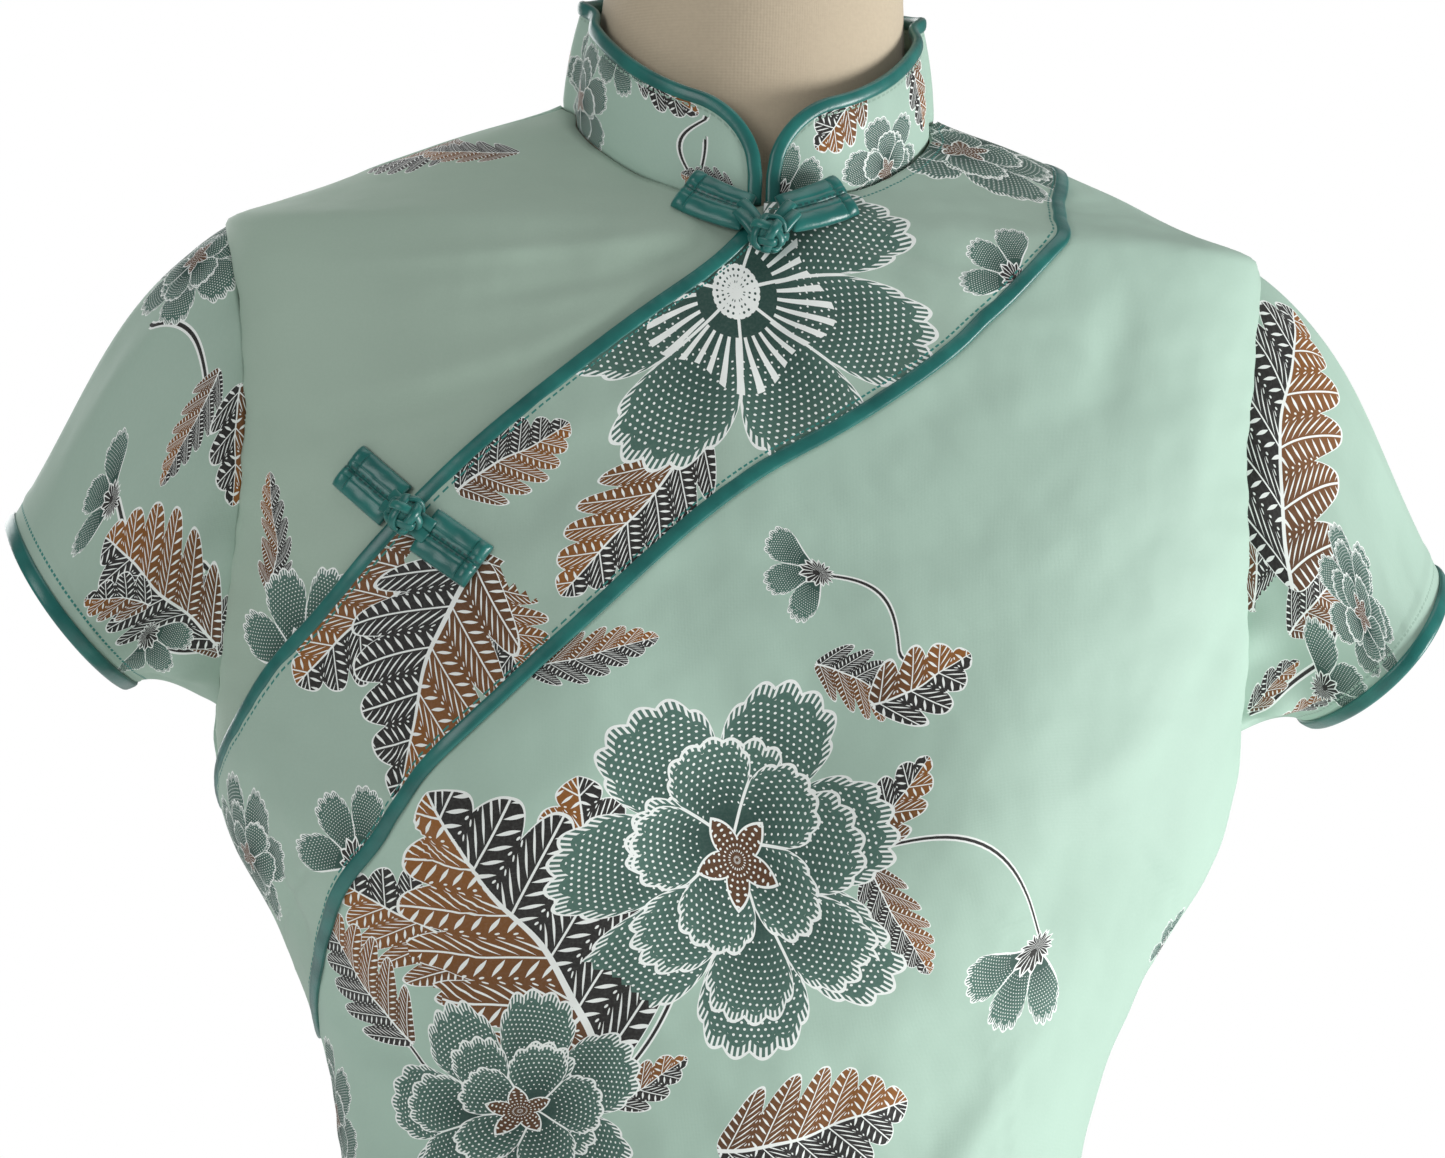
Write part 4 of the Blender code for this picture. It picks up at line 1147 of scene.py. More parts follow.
@dataclass(frozen=True)
class Satin:
    """Teal satin cut on the bias, with a row of stitches beside it where asked."""

    name: str = "teal_satin"
    base: Colour = (0.022, 0.215, 0.185)
    deep: Colour = (0.010, 0.105, 0.095)
    thread: Colour = (0.012, 0.080, 0.074)
    thread_pitch: float = 0.0005
    stitch_pitch: float = 0.0024
    stitch_half: float = 0.00030
    stitch_share: float = 0.62

    def build(self) -> bpy.types.Material:
        """The whole material.

        Returns:
            The material.
        """
        p = Paint(self.name)
        along, across, cloth = p.layer("cloth")
        drift = p.noise(cloth, 60.0, 3.0)
        colour = p.mix((drift - 0.3) * 1.8, self.deep, self.base)
        _, row, _ = p.layer("stitch")
        drawn = (along * (1 / self.stitch_pitch)).fract() < self.stitch_share
        stitch = (abs(row) < self.stitch_half) * drawn
        colour = p.mix(stitch, colour, self.thread)
        twill = ((along + across) * (2 * math.pi / self.thread_pitch)).sin()
        pucker, pull = p.noise(cloth, 260.0, 2.0), p.noise(cloth, 700.0, 1.0)
        p.bump(twill * 0.000004 + pucker * 0.00010 + pull * 0.00002 - stitch * 0.00012)
        return p.finish(colour, drift * 0.14 + 0.25, sheen_weight=0.25, sheen_roughness=0.35)


@dataclass(frozen=True)
class Linen:
    """Undyed plain linen stretched over the form."""

    name: str = "undyed_linen"
    base: Colour = (0.640, 0.545, 0.400)
    deep: Colour = (0.500, 0.415, 0.300)
    thread_pitch: float = 0.0011

    def build(self) -> bpy.types.Material:
        """The whole material.

        Returns:
            The material.
        """
        p = Paint(self.name)
        place = p.object_place()
        parts = p.node("ShaderNodeSeparateXYZ", None, {0: place}).outputs
        x, y, z = (Value(p, s) for s in parts)
        slub = p.noise(place, 700.0, 3.0)
        drift = p.noise(place, 14.0, 3.0)
        colour = p.mix((slub * 0.6 + drift * 0.6 - 0.3).kept(), self.deep, self.base)
        thread = 2 * math.pi / self.thread_pitch
        weave = (z * thread).sin() + ((x + y) * thread).sin()
        p.bump(weave * 0.000012 + slub * 0.00006)
        return p.finish(colour, slub * 0.1 + 0.82, sheen_weight=0.15, sheen_roughness=0.5)


@dataclass(frozen=True)
class Hard:
    """A turned wood or brushed metal part of the stand."""

    name: str
    base: Colour
    deep: Colour
    metal: float
    gloss: float
    grain: float

    def build(self) -> bpy.types.Material:
        """The whole material.

        Returns:
            The material.
        """
        p = Paint(self.name)
        place = p.object_place()
        squeezed = {"Vector": place, "Scale": (1.0, 1.0, 0.15)}
        stretched = p.node("ShaderNodeMapping", None, squeezed).outputs[0]
        lines = p.noise(stretched, self.grain, 4.0)
        smudge = p.noise(place, 22.0, 2.0)
        colour = p.mix(lines, self.deep, self.base)
        p.bump(lines * 0.00002)
        return p.finish(colour, smudge * 0.18 + self.gloss, metallic=self.metal)


# Making meshes


def shaped_grid(columns: int, rows: int, place: Callable[[Array, Array], Array]) -> tuple[bmesh.types.BMesh, Array]:
    """A grid of quads shaped over a surface.

    Args:
        columns: Faces across.
        rows: Faces up.
        place: Turns shares across and up, 0 to 1, into points.

    Returns:
        The mesh, and the two shares of every vertex.
    """
    bm = bmesh.new()
    bmesh.ops.create_grid(bm, x_segments=columns, y_segments=rows, size=0.5)
    shares = np.clip(np.array([v.co[:2] for v in bm.verts]) + 0.5, 0, 1)
    for vert, point in zip(bm.verts, place(shares[:, 0], shares[:, 1])):
        vert.co = point
    return bm, shares


def settle(name: str, bm: bmesh.types.BMesh, material: bpy.types.Material) -> bpy.types.Object:
    """Turns a bmesh into an object with its finish, riding on the frame.

    Args:
        name: The object's name.
        bm: The mesh, which is freed.
        material: Its finish.

    Returns:
        The object.
    """
    mesh = bpy.data.meshes.new(name)
    bm.to_mesh(mesh)
    bm.free()
    mesh.shade_smooth()
    mesh.materials.append(material)
    made = bpy.data.objects.new(name, mesh)
    bpy.context.scene.collection.objects.link(made)
    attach(made, "root")
    log.info("%s: %d faces", name, len(mesh.polygons))
    return made


def outward(bm: bmesh.types.BMesh, centre: Vector) -> None:
    """Turns the faces of a sheet away from a point inside it.

    Args:
        bm: The sheet.
        centre: The point.
    """
    score = sum((f.calc_center_median() - centre).dot(f.normal) * f.calc_area() for f in bm.faces)
    if score < 0:
        bmesh.ops.reverse_faces(bm, faces=bm.faces)


def thicken(made: bpy.types.Object, depth: float) -> None:
    """Gives a sheet its cloth thickness, inwards.

    Args:
        made: The sheet.
        depth: The thickness in metres.
    """
    wall = made.modifiers.new("cloth", "SOLIDIFY")
    wall.thickness = depth
    wall.offset = -1.0
    wall.use_even_offset = False


def strip(
    name: str, path: Array, ups: Array, profile: Array, material: bpy.types.Material, closed: bool = False
) -> bpy.types.Object:
    """A rounded strip along a path.

    Args:
        name: The object's name.
        path: Points along it.
        ups: Direction out of the cloth at each point.
        profile: Places round the section, as distance across and height above the path.
        material: Its finish.
        closed: Whether the path joins its own start.

    Returns:
        The object.
    """
    count, ring = len(path), len(profile)
    ahead = np.roll(path, -1, 0) - np.roll(path, 1, 0) if closed else np.gradient(path, axis=0)
    side = unit(np.cross(ahead, ups))
    run = np.concatenate([[0], np.cumsum(np.linalg.norm(np.diff(path, axis=0), axis=1))])
    wrap = np.concatenate([profile, profile[:1]])
    last = count if closed else count - 1

    def place(u: Array, v: Array) -> Array:
        """A point of the strip's skin.

        Args:
            u: Share of the way along.
            v: Share of the way round.

        Returns:
            The point.
        """
        i = np.rint(u * last).astype(int) % count
        k = np.rint(v * ring).astype(int)
        return path[i] + side[i] * wrap[k, :1] + ups[i] * wrap[k, 1:2]

    bm, shares = shaped_grid(last, ring, place)
    steps = np.rint(shares * (last, ring)).astype(int)
    flat = np.stack([np.append(run, run[-1])[np.minimum(steps[:, 0], count)], wrap[steps[:, 1], 0]], -1)
    cloth, stitch = (bm.loops.layers.uv.new(name) for name in ("cloth", "stitch"))
    for face in bm.faces:
        for loop in face.loops:
            loop[cloth].uv = flat[loop.vert.index]
            loop[stitch].uv = (FAR, FAR)
    bmesh.ops.remove_doubles(bm, verts=bm.verts, dist=WELD)
    if not closed:
        bmesh.ops.holes_fill(bm, edges=[e for e in bm.edges if e.is_boundary], sides=0)
    bmesh.ops.recalc_face_normals(bm, faces=bm.faces)
    return settle(name, bm, material)


def rounded(half_width: float, height: float, corners: int = 14) -> Array:
    """A low rounded section standing on its path.

    Args:
        half_width: Half its width.
        height: Its height.
        corners: How many corners it has.

    Returns:
        Distance across and height of each corner.
    """
    t = 2 * math.pi * (np.arange(corners) + 0.5) / corners
    wide = np.sign(np.cos(t)) * np.abs(np.cos(t)) ** 0.62 * half_width
    high = (1 + np.sign(np.sin(t)) * np.abs(np.sin(t)) ** 0.8) * height / 2
    return np.stack([wide, high], -1)


@dataclass(frozen=True)
class Panel:
    """One panel of the body between two side edges."""

    node: str
    cut: FlatCut
    prints: Sequence[Print]
    limits: Callable[[Array], tuple[Array, Array]]
    low: float
    size: tuple[int, int]
    material: bpy.types.Material
    metres_per_degree: float = 0.0022
    seam_half_width: float = 0.0016
    hem_turn: float = 0.022
    slit_turn: float = 0.013
    stitches_in: float = 0.0012

    def levels(self, v: Array) -> Array:
        """Levels for shares of the panel's height, closer where the cloth bends.

        Args:
            v: Share of the way up.

        Returns:
            The levels.
        """
        bends = (BODY.underarm - 0.004, BODY.underarm + 0.012, BODY.shoulder_tip - 0.012, BODY.shoulder_tip)
        hips = 0.90
        if self.low < hips:
            knots, weights = (self.low, hips, *bends, BODY.neck_level), (60, 96, 18, 56, 18, 26)
        else:
            knots, weights = (self.low, *bends, BODY.neck_level), (12, 18, 56, 18, 26)
        return np.interp(v, np.concatenate([[0], np.cumsum(weights)]) / sum(weights), knots)

    def places(self, u: Array, v: Array) -> tuple[Array, Array, Array, Array]:
        """Angle and level of shares of the panel, and the angles of its edges there.

        Args:
            u: Share of the way across.
            v: Share of the way up.

        Returns:
            Angle, level and both edges' angles.
        """
        level = self.levels(v)
        start, end = self.limits(level)
        return start + (end - start) * u, level, start, end

    def point(self, u: Array, v: Array) -> Array:
        """A point of the panel, its edges turned in a little at the seams.

        Args:
            u: Share of the way across.
            v: Share of the way up.

        Returns:
            The point.
        """
        angle, level, start, end = self.places(u, v)
        near = np.minimum(angle - start, end - angle) * self.metres_per_degree
        pull = 0.00055 * ripple(level, 21, 0.021) * np.exp(-near / 0.009)
        seam = -0.0007 * bell(near, 0.0, self.seam_half_width) + 0.0003 * bell(near, 0.005, 0.003)
        hem = 0.0005 * bell(level - BODY.hem_level, self.hem_turn, 0.003)
        return BODY.point(angle, level, seam + hem + pull)

    def build(self, depth: float) -> bpy.types.Object:
        """Makes the panel.

        Args:
            depth: Thickness of its cloth in metres.

        Returns:
            The object.
        """
        bm, shares = shaped_grid(*self.size, self.point)
        outward(bm, BODY_MIDDLE)
        made = settle(f"{self.node}_cloth", bm, self.material)
        angle, level, start, end = self.places(shares[:, 0], shares[:, 1])
        flat, first, last = (self.cut.at(a, level) for a in (angle, start, end))
        off = np.minimum(np.abs(flat[:, 0] - first[:, 0]), np.abs(last[:, 0] - flat[:, 0])) - self.stitches_in
        above = flat[:, 1] - self.hem_turn
        off = np.where(level < BODY.slit_top, np.minimum(off - self.slit_turn, above), off)
        run = np.where(above < off + 1e-6, flat[:, 0], flat[:, 1])
        lay_print(made.data, flat, np.stack([run, off], -1), self.prints, self.cut.at)
        thicken(made, depth)
        return made


@dataclass(frozen=True)
class Finishes:
    """The materials that the dress's pieces share: the printed cotton, two copies of it whose darker, greyer
    grounds are painted shade, and the satin.
    """

    bright: bpy.types.Material
    # the band's and the right sleeve's cotton: the same cloth with a darker ground, which is painted shade
    shaded: bpy.types.Material
    # the chest panel's cotton: the same cloth with a darker, greyer ground, which is painted shade
    plain: bpy.types.Material
    satin: bpy.types.Material

    @classmethod
    def make(cls) -> "Finishes":
        """Builds them in order.

        Returns:
            The four materials.
        """
        return cls(
            bright=PrintedCotton("printed_cotton").build(),
            # the same cotton with its ground darkened: painted shade on the band and the right sleeve
            shaded=PrintedCotton("printed_cotton_painted_shade", ground=(0.390, 0.535, 0.445), thread=Satin().base).build(),
            # the same cotton with its ground darker and greyer: painted shade on the chest panel
            plain=PrintedCotton("printed_cotton_chest_painted_shade", ground=(0.390, 0.520, 0.425)).build(),
            satin=Satin().build(),
        )


@dataclass
class DressBody:
    """The front, the chest panel, the back, the overlapping band and the band's piping."""

    finishes: Finishes
    cloth: float = 0.0010
    band_cloth: float = 0.0007
    band_lift: float = 0.0014
    band_length: float = 0.46
    band_pucker: float = 0.00022
    stitches_in: float = 0.0041
    band_side: float = 89.6
    piping_width: float = 0.0054
    piping_height: float = 0.0024
    piping_lift: float = 0.0004
    front: FlatCut = field(default_factory=lambda: FlatCut(0.0))
    back: FlatCut = field(default_factory=lambda: FlatCut(180.0))

    def panels(self) -> None:
        """Makes the front, the chest panel and the back."""
        innermost = 20.0
        split = np.linspace(-89.9, innermost, 200)
        split_levels = hidden_edge(split)

        def main_limits(level: Array) -> tuple[Array, Array]:
            """Both side edges of the front panel.

            Args:
                level: Levels of the cloth.

            Returns:
                The angles of the two edges.
            """
            side = 90.0 - BODY.side_gap(level)
            right = np.where(level <= split_levels[0], -side, np.interp(level, split_levels, split))
            return np.maximum(right, -side), side

        def chest_limits(level: Array) -> tuple[Array, Array]:
            """Both side edges of the chest panel.

            Args:
                level: Levels of the cloth.

            Returns:
                The angles of the two edges.
            """
            side = 90.0 - BODY.side_gap(level)
            left = np.where(level > split_levels[-1], innermost, np.interp(level, split_levels, split))
            return -side, np.maximum(left, -side + 0.2)

        def back_limits(level: Array) -> tuple[Array, Array]:
            """The angles of both side edges of the back, at some levels."""
            side = 90.0 - BODY.side_gap(level)
            return 180.0 - side, 180.0 + side

        hem, low = BODY.hem_level, float(split_levels[0])
        bright, plain = self.finishes.bright, self.finishes.plain
        main = Panel("front_main", self.front, FRONT_PRINTS, main_limits, hem, (130, 300), bright)
        # the chest panel takes the cotton copy with the darker, greyer ground: painted shade
        chest = Panel("front_chest_right", self.front, CHEST_PRINTS, chest_limits, low, (90, 130), plain)
        back = Panel("back", self.back, BACK_PRINTS, back_limits, hem, (120, 290), bright)
        # panel, finish, flat size as cut, area of its surface
        for shape, slot, flat, area in (
            (main, "printed_cotton", (0.50, 1.05), 0.420),
            (chest, "cotton", (0.30, 0.36), 0.0416),
            (back, "printed_cotton", (0.50, 1.06), 0.475),
        ):
            made = shape.build(self.cloth)
            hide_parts(shape.node)

    def band_place(self, u: Array, v: Array) -> tuple[Array, Array]:
        """A place on the band.

        Args:
            u: Share of the way along, from the left shoulder to the right side seam.
            v: Share of the way from the lower edge to the upper one.

        Returns:
            Its angle and its level on the worn cloth.
        """
        low_angle = self.band_side - 2 * self.band_side * u
        top_angle = np.interp(u, (0, 0.34, 1), (self.band_side, 0.0, -self.band_side))
        collar_seam = BODY.neck_level - 0.0002
        top = np.where(top_angle > -0.01, collar_seam, edge_level(UPPER_EDGE, np.minimum(top_angle, 0.0)))
        low = edge_level(LOWER_EDGE, low_angle)
        angle, level = low_angle + (top_angle - low_angle) * v, low + (top - low) * v
        limit = 90.0 - BODY.side_gap(level)
        return np.clip(angle, -limit, limit), level

    def band_point(self, u: Array, v: Array) -> Array:
        """A point of the band, with small puckers where the piping holds it.

        Args:
            u: Share of the way along.
            v: Share of the way across.

        Returns:
            The point.
        """
        angle, level = self.band_place(u, v)
        pucker = ripple(u * 0.5, 3, 0.017) * bell(v, 0.04, 0.10) + ripple(u * 0.5, 4, 0.019) * bell(v, 0.96, 0.10)
        return BODY.point(angle, level, self.band_lift + self.band_pucker * pucker)

    def band(self) -> None:
        """Makes the printed band over both front panels."""
        bm, shares = shaped_grid(300, 46, self.band_point)
        outward(bm, BODY_MIDDLE)
        # the band takes the cotton copy with the darker ground: painted shade
        made = settle("lapel_band_cloth", bm, self.finishes.shaded)
        flat = self.front.at(*self.band_place(shares[:, 0], shares[:, 1]))
        edges = [self.front.at(*self.band_place(shares[:, 0], np.full(len(shares), v))) for v in (0.0, 1.0)]
        off = np.minimum(*(np.linalg.norm(flat - edge, axis=1) for edge in edges)) - self.stitches_in
        rows = np.stack([shares[:, 0] * self.band_length, off], -1)
        lay_print(made.data, flat, rows, BAND_PRINTS, self.front.at)
        thicken(made, self.band_cloth)
        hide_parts("lapel_band")

    def piping(self) -> None:
        """Makes the satin piping along both edges of the band."""
        count = 420
        for name, edge, start, seed in (("upper", UPPER_EDGE, -1.0, 11), ("lower", LOWER_EDGE, 89.7, 12)):
            angle = np.linspace(start, -89.7, count)
            level = edge_level(edge, angle)
            uneven = ripple(np.linspace(0, 0.45, count), seed, 0.012)
            path = BODY.point(angle, level, self.piping_lift + 0.00005 * uneven)
            profile = rounded(self.piping_width / 2, self.piping_height)
            ups = unit(BODY.normal(angle, level))
            made = strip(f"piping_lapel_{name}", path, ups, profile, self.finishes.satin)
            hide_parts(f"binding_lapel_{name}")


@dataclass
class Sleeve:
    """A short set-in sleeve with piping round its hem.

    A place on it is degrees round the armhole, from the shoulder tip over the front, and the share
    of the way from the armhole to the hem. The side is 1 for the wearer's left, -1 for the right.
    """

    side: int
    name: str
    cotton: bpy.types.Material
    satin: bpy.types.Material
    cloth: float = 0.0010
    hem_middle: Place = (0.2406, 1.2130)
    hem_slant: Place = (0.0228, 0.0300)
    hem_depth: float = 0.052
    hem_bulge: float = 0.003
    hem_fold: float = 0.0046
    start_lean: tuple[Place, Place] = ((0.85, -0.53), (0.92, 0.39))
    end_lean: tuple[Place, Place] = ((0.50, -0.87), (0.90, -0.43))
    length_top: float = 0.105
    length_lost: float = 0.075
    metres_per_degree: float = 0.00092
    piping_width: float = 0.0054
    piping_height: float = 0.0024
    pucker_count: int = 19
    # place round the armhole, place down the sleeve, spread in degrees, spread down, depth
    folds: tuple = (
        (150.0, 0.30, 8.0, 0.5, -0.0050),
        (130.0, 0.25, 7.0, 0.5, 0.0028),
        (165.0, 0.60, 9.0, 0.5, 0.0030),
        (104.0, 0.35, 6.0, 0.4, -0.0020),
        (62.0, 0.30, 7.0, 0.4, 0.0016),
        (38.0, 0.45, 9.0, 0.5, -0.0020),
        (10.0, 0.35, 8.0, 0.4, -0.0014),
        (208.0, 0.35, 9.0, 0.5, -0.0046),
        (232.0, 0.40, 8.0, 0.5, 0.0026),
        (268.0, 0.35, 8.0, 0.4, -0.0018),
        (320.0, 0.45, 10.0, 0.5, -0.0020),
    )

    def lean(self, ends: tuple[Place, Place], forward: Array, shoulder: Array) -> Array:
        """The way the cloth runs at one end of the sleeve.

        Args:
            ends: Its direction, outward and up, at the shoulder and under the arm.
            forward: Sine of the degrees round the armhole.
            shoulder: Cosine of the degrees round the armhole.

        Returns:
            The directions.
        """
        x, z = ((top + under) / 2 + shoulder * (top - under) / 2 for top, under in zip(*ends))
        return np.stack([self.side * x, -0.10 * forward, z], -1)

    def smooth_point(self, turn: Array, share: Array) -> Array:
        """Points of the sleeve without its folds.

        Args:
            turn: Degrees round the armhole.
            share: 0 at the armhole, 1 at the hem.

        Returns:
            The points.
        """
        c, n = np.cos(np.radians(turn)), np.sin(np.radians(turn))
        middle, half = BODY.armhole()
        angle = self.side * (90.0 - (BODY.armhole_turn + 0.4) * n)
        start = BODY.point(angle, middle + (half + 0.0006) * c, -0.0009, False)
        hem_x = self.hem_middle[0] + self.hem_slant[0] * c + self.hem_bulge * 0.75 * n * n
        hem_z = self.hem_middle[1] + self.hem_slant[1] * c - self.hem_bulge * 0.65 * n * n
        hem = np.stack([self.side * hem_x, -self.hem_depth * n, hem_z], -1)
        run = np.linalg.norm(hem - start, axis=-1, keepdims=True)
        s = share[..., None]
        return (
            (1 + 2 * s) * (1 - s) ** 2 * start
            + s * (1 - s) ** 2 * run * self.lean(self.start_lean, n, c)
            + s * s * (3 - 2 * s) * hem
            + s * s * (s - 1) * run * self.lean(self.end_lean, n, c)
        )

    def point(self, turn: Array, share: Array, inset: float = 0.0) -> tuple[Array, Array]:
        """Places on the sleeve.

        Args:
            turn: Degrees round the armhole.
            share: 0 at the armhole, 1 at the hem.
            inset: How far in from the outer face.

        Returns:
            The points and the directions out of the cloth.
        """
        turn, share = np.broadcast_arrays(np.asarray(turn, float), np.asarray(share, float))
        around = self.smooth_point(turn + 0.5, share) - self.smooth_point(turn - 0.5, share)
        above, below = np.maximum(share - 0.01, 0.0), np.minimum(share + 0.01, 1.0)
        along = self.smooth_point(turn, below) - self.smooth_point(turn, above)
        out = unit(np.cross(around, along)) * -self.side
        puckers = np.sin(np.radians(turn) * self.pucker_count + self.side)
        wave = 0.0007 * puckers * bell(share, 0.0, 0.16)
        free = np.sin(math.pi * np.clip(share * 1.1, 0, 1))
        for at, place, spread, length, depth in self.folds:
            away = (turn_between(turn, at) / spread) ** 2 + ((share - place) / length) ** 2
            wave = wave + depth * np.exp(-away) * free
        hem_line = 0.0005 * bell(share, 0.93, 0.012)
        lift = wave - hem_line - inset + self.cloth / 2
        return self.smooth_point(turn, share) + out * lift[..., None], out

    def flat(self, turn: Array, share: Array) -> Array:
        """Flat place on the sleeve: round it and down it, in metres."""
        length = self.length_top - self.length_lost * (1 - np.cos(np.radians(turn))) / 2
        return np.stack([np.asarray(turn) * self.metres_per_degree, -np.asarray(share) * length], -1)

    def build(self) -> None:
        """Makes the sleeve and its piping."""
        bm, shares = shaped_grid(240, 64, lambda u, v: self.point(u * 360.0, v)[0])
        if self.side > 0:
            bmesh.ops.reverse_faces(bm, faces=bm.faces)
        made = settle(f"sleeve_{self.name}_cloth", bm, self.cotton)
        places = self.flat(shares[:, 0] * 360.0, shares[:, 1])
        hem = self.flat(shares[:, 0] * 360.0, np.ones(len(shares)))
        rows = np.stack([places[:, 0], np.abs(places[:, 1] - hem[:, 1]) - self.hem_fold], -1)
        lay_print(made.data, places, rows, SLEEVE_PRINTS[self.side], self.flat)
        weld = bmesh.new()
        weld.from_mesh(made.data)
        bmesh.ops.remove_doubles(weld, verts=weld.verts, dist=WELD)
        outward(weld, Vector((self.side * 0.215, 0, 1.26)))
        weld.to_mesh(made.data)
        weld.free()
        thicken(made, self.cloth)
        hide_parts(f"sleeve_{self.name}")
        self.piping()

    def piping(self) -> None:
        """Makes the piping round the hem."""
        count, inset = 160, 0.0008
        turn = np.linspace(0, 360, count, endpoint=False)
        path, out = self.point(turn, np.ones(count), inset)
        before, _ = self.point(turn, np.full(count, 0.97), inset)
        path = path + unit(path - before) * 0.0014 - out * inset
        profile = rounded(self.piping_width / 2, self.piping_height)
        edge = strip(f"piping_sleeve_{self.name}", path, out, profile, self.satin, closed=True)
        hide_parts(f"binding_sleeve_{self.name}")


@dataclass
class Collar:
    """The standing collar with rounded front ends and its piping.

    A place on it is an angle round the body and a rise above the neck seam.
    """

    cotton: bpy.types.Material
    satin: bpy.types.Material
    cloth: float = 0.0018
    front_rise: float = 0.037
    back_rise: float = 0.043
    lean: float = 0.0065
    lean_front: float = 0.004
    half_gap: float = 4.4
    corner: float = 17.0
    edge: float = 0.0046
    stitches_in: float = 0.0022
    swell: float = 0.0012
    metres_per_degree: float = 0.0012

    def top(self, angle: Array) -> Array:
        """Rise of the cloth's top edge.

        Args:
            angle: Angles round the body.

        Returns:
            The rise at each, in metres.
        """
        c = np.cos(np.radians(angle))
        rise = self.back_rise + (self.front_rise - self.back_rise) * (1 + c) / 2
        off = np.clip(1 - (np.abs(turn_between(angle, 0.0)) - self.half_gap) / self.corner, 0, 1)
        return rise * (0.40 + 0.60 * np.sqrt(np.clip(1 - off * off, 0, 1))) - self.edge

    def point(self, angle: Array, rise: Array, lift: Array | float = 0.0) -> Array:
        """Points of the outer face.

        Args:
            angle: Angles round the body.
            rise: Rises above the neck seam.
            lift: How far out from the face.

        Returns:
            The points.
        """
        angle, rise = np.broadcast_arrays(np.asarray(angle, float), np.asarray(rise, float))
        foot = BODY.point(angle, np.full(angle.shape, BODY.neck_level), 0.0, False)
        lean = self.lean + (self.lean_front - self.lean) * np.clip(np.cos(np.radians(angle)), 0, 1)
        share = rise / 0.04
        swell = self.swell * np.sin(math.pi * np.clip(share, 0, 1))
        up = np.array([0.0, 0.0, 1.0]) * rise[..., None]
        return foot + up + level_out(angle) * (swell - lean * share + lift)[..., None]

    def angle(self, u: Array) -> Array:
        """Angle of a share of the way along the collar, closer spaced near its ends."""
        even = 2 * u - 1
        return 180.0 + (even + 0.10 * np.sin(math.pi * even)) * (180.0 - self.half_gap)

    def flat(self, angle: Array, rise: Array) -> Array:
        """Flat place of an angle and a rise, in metres."""
        return np.stack([np.asarray(angle) % 360.0 * self.metres_per_degree, np.asarray(rise)], -1)

    def build(self) -> None:
        """Makes the collar and its piping."""

        def place(u: Array, v: Array) -> Array:
            """A point of the outer face.

            Args:
                u: Share of the way along.
                v: Share of the way up.

            Returns:
                The point.
            """
            angle = self.angle(u)
            foot = 0.0006 * bell(v, 0.0, 0.06)
            lift = 0.0002 * ripple(u * 0.4, 8, 0.03) * v - foot
            return self.point(angle, v * (self.top(angle) + 0.001), lift)

        bm, shares = shaped_grid(340, 24, place)
        outward(bm, Vector((0, 0, BODY.neck_level)))
        made = settle("collar_cloth", bm, self.cotton)
        angle = self.angle(shares[:, 0])
        places = np.stack([angle * self.metres_per_degree, shares[:, 1] * self.top(angle)], -1)
        rows = np.stack([places[:, 0], (1 - shares[:, 1]) * self.top(angle) - self.stitches_in], -1)
        lay_print(made.data, places, rows, COLLAR_PRINTS, self.flat)
        thicken(made, self.cloth)
        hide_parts("collar")
        self.piping()

    def piping(self) -> None:
        """Makes the piping up both ends and along the top."""
        angle = self.angle(np.linspace(0, 1, 300))
        rise = self.top(angle)
        down = np.linspace(0.0, 0.92, 10)
        rise = np.concatenate([down * rise[0], rise, down[::-1] * rise[-1]])
        angle = np.concatenate([np.full(10, angle[0]), angle, np.full(10, angle[-1])])
        path = self.point(angle, rise, -self.cloth / 2)
        up = unit(np.cross(np.gradient(path, axis=0), level_out(angle)))
        middle = self.point(np.full(len(angle), 180.0), np.zeros(len(angle)))
        up *= np.sign((up * (path - middle)).sum(-1).mean())
        made = strip("piping_collar", path - up * 0.0004, up, rounded(0.0019, 0.0052), self.satin)
        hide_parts("binding_collar")


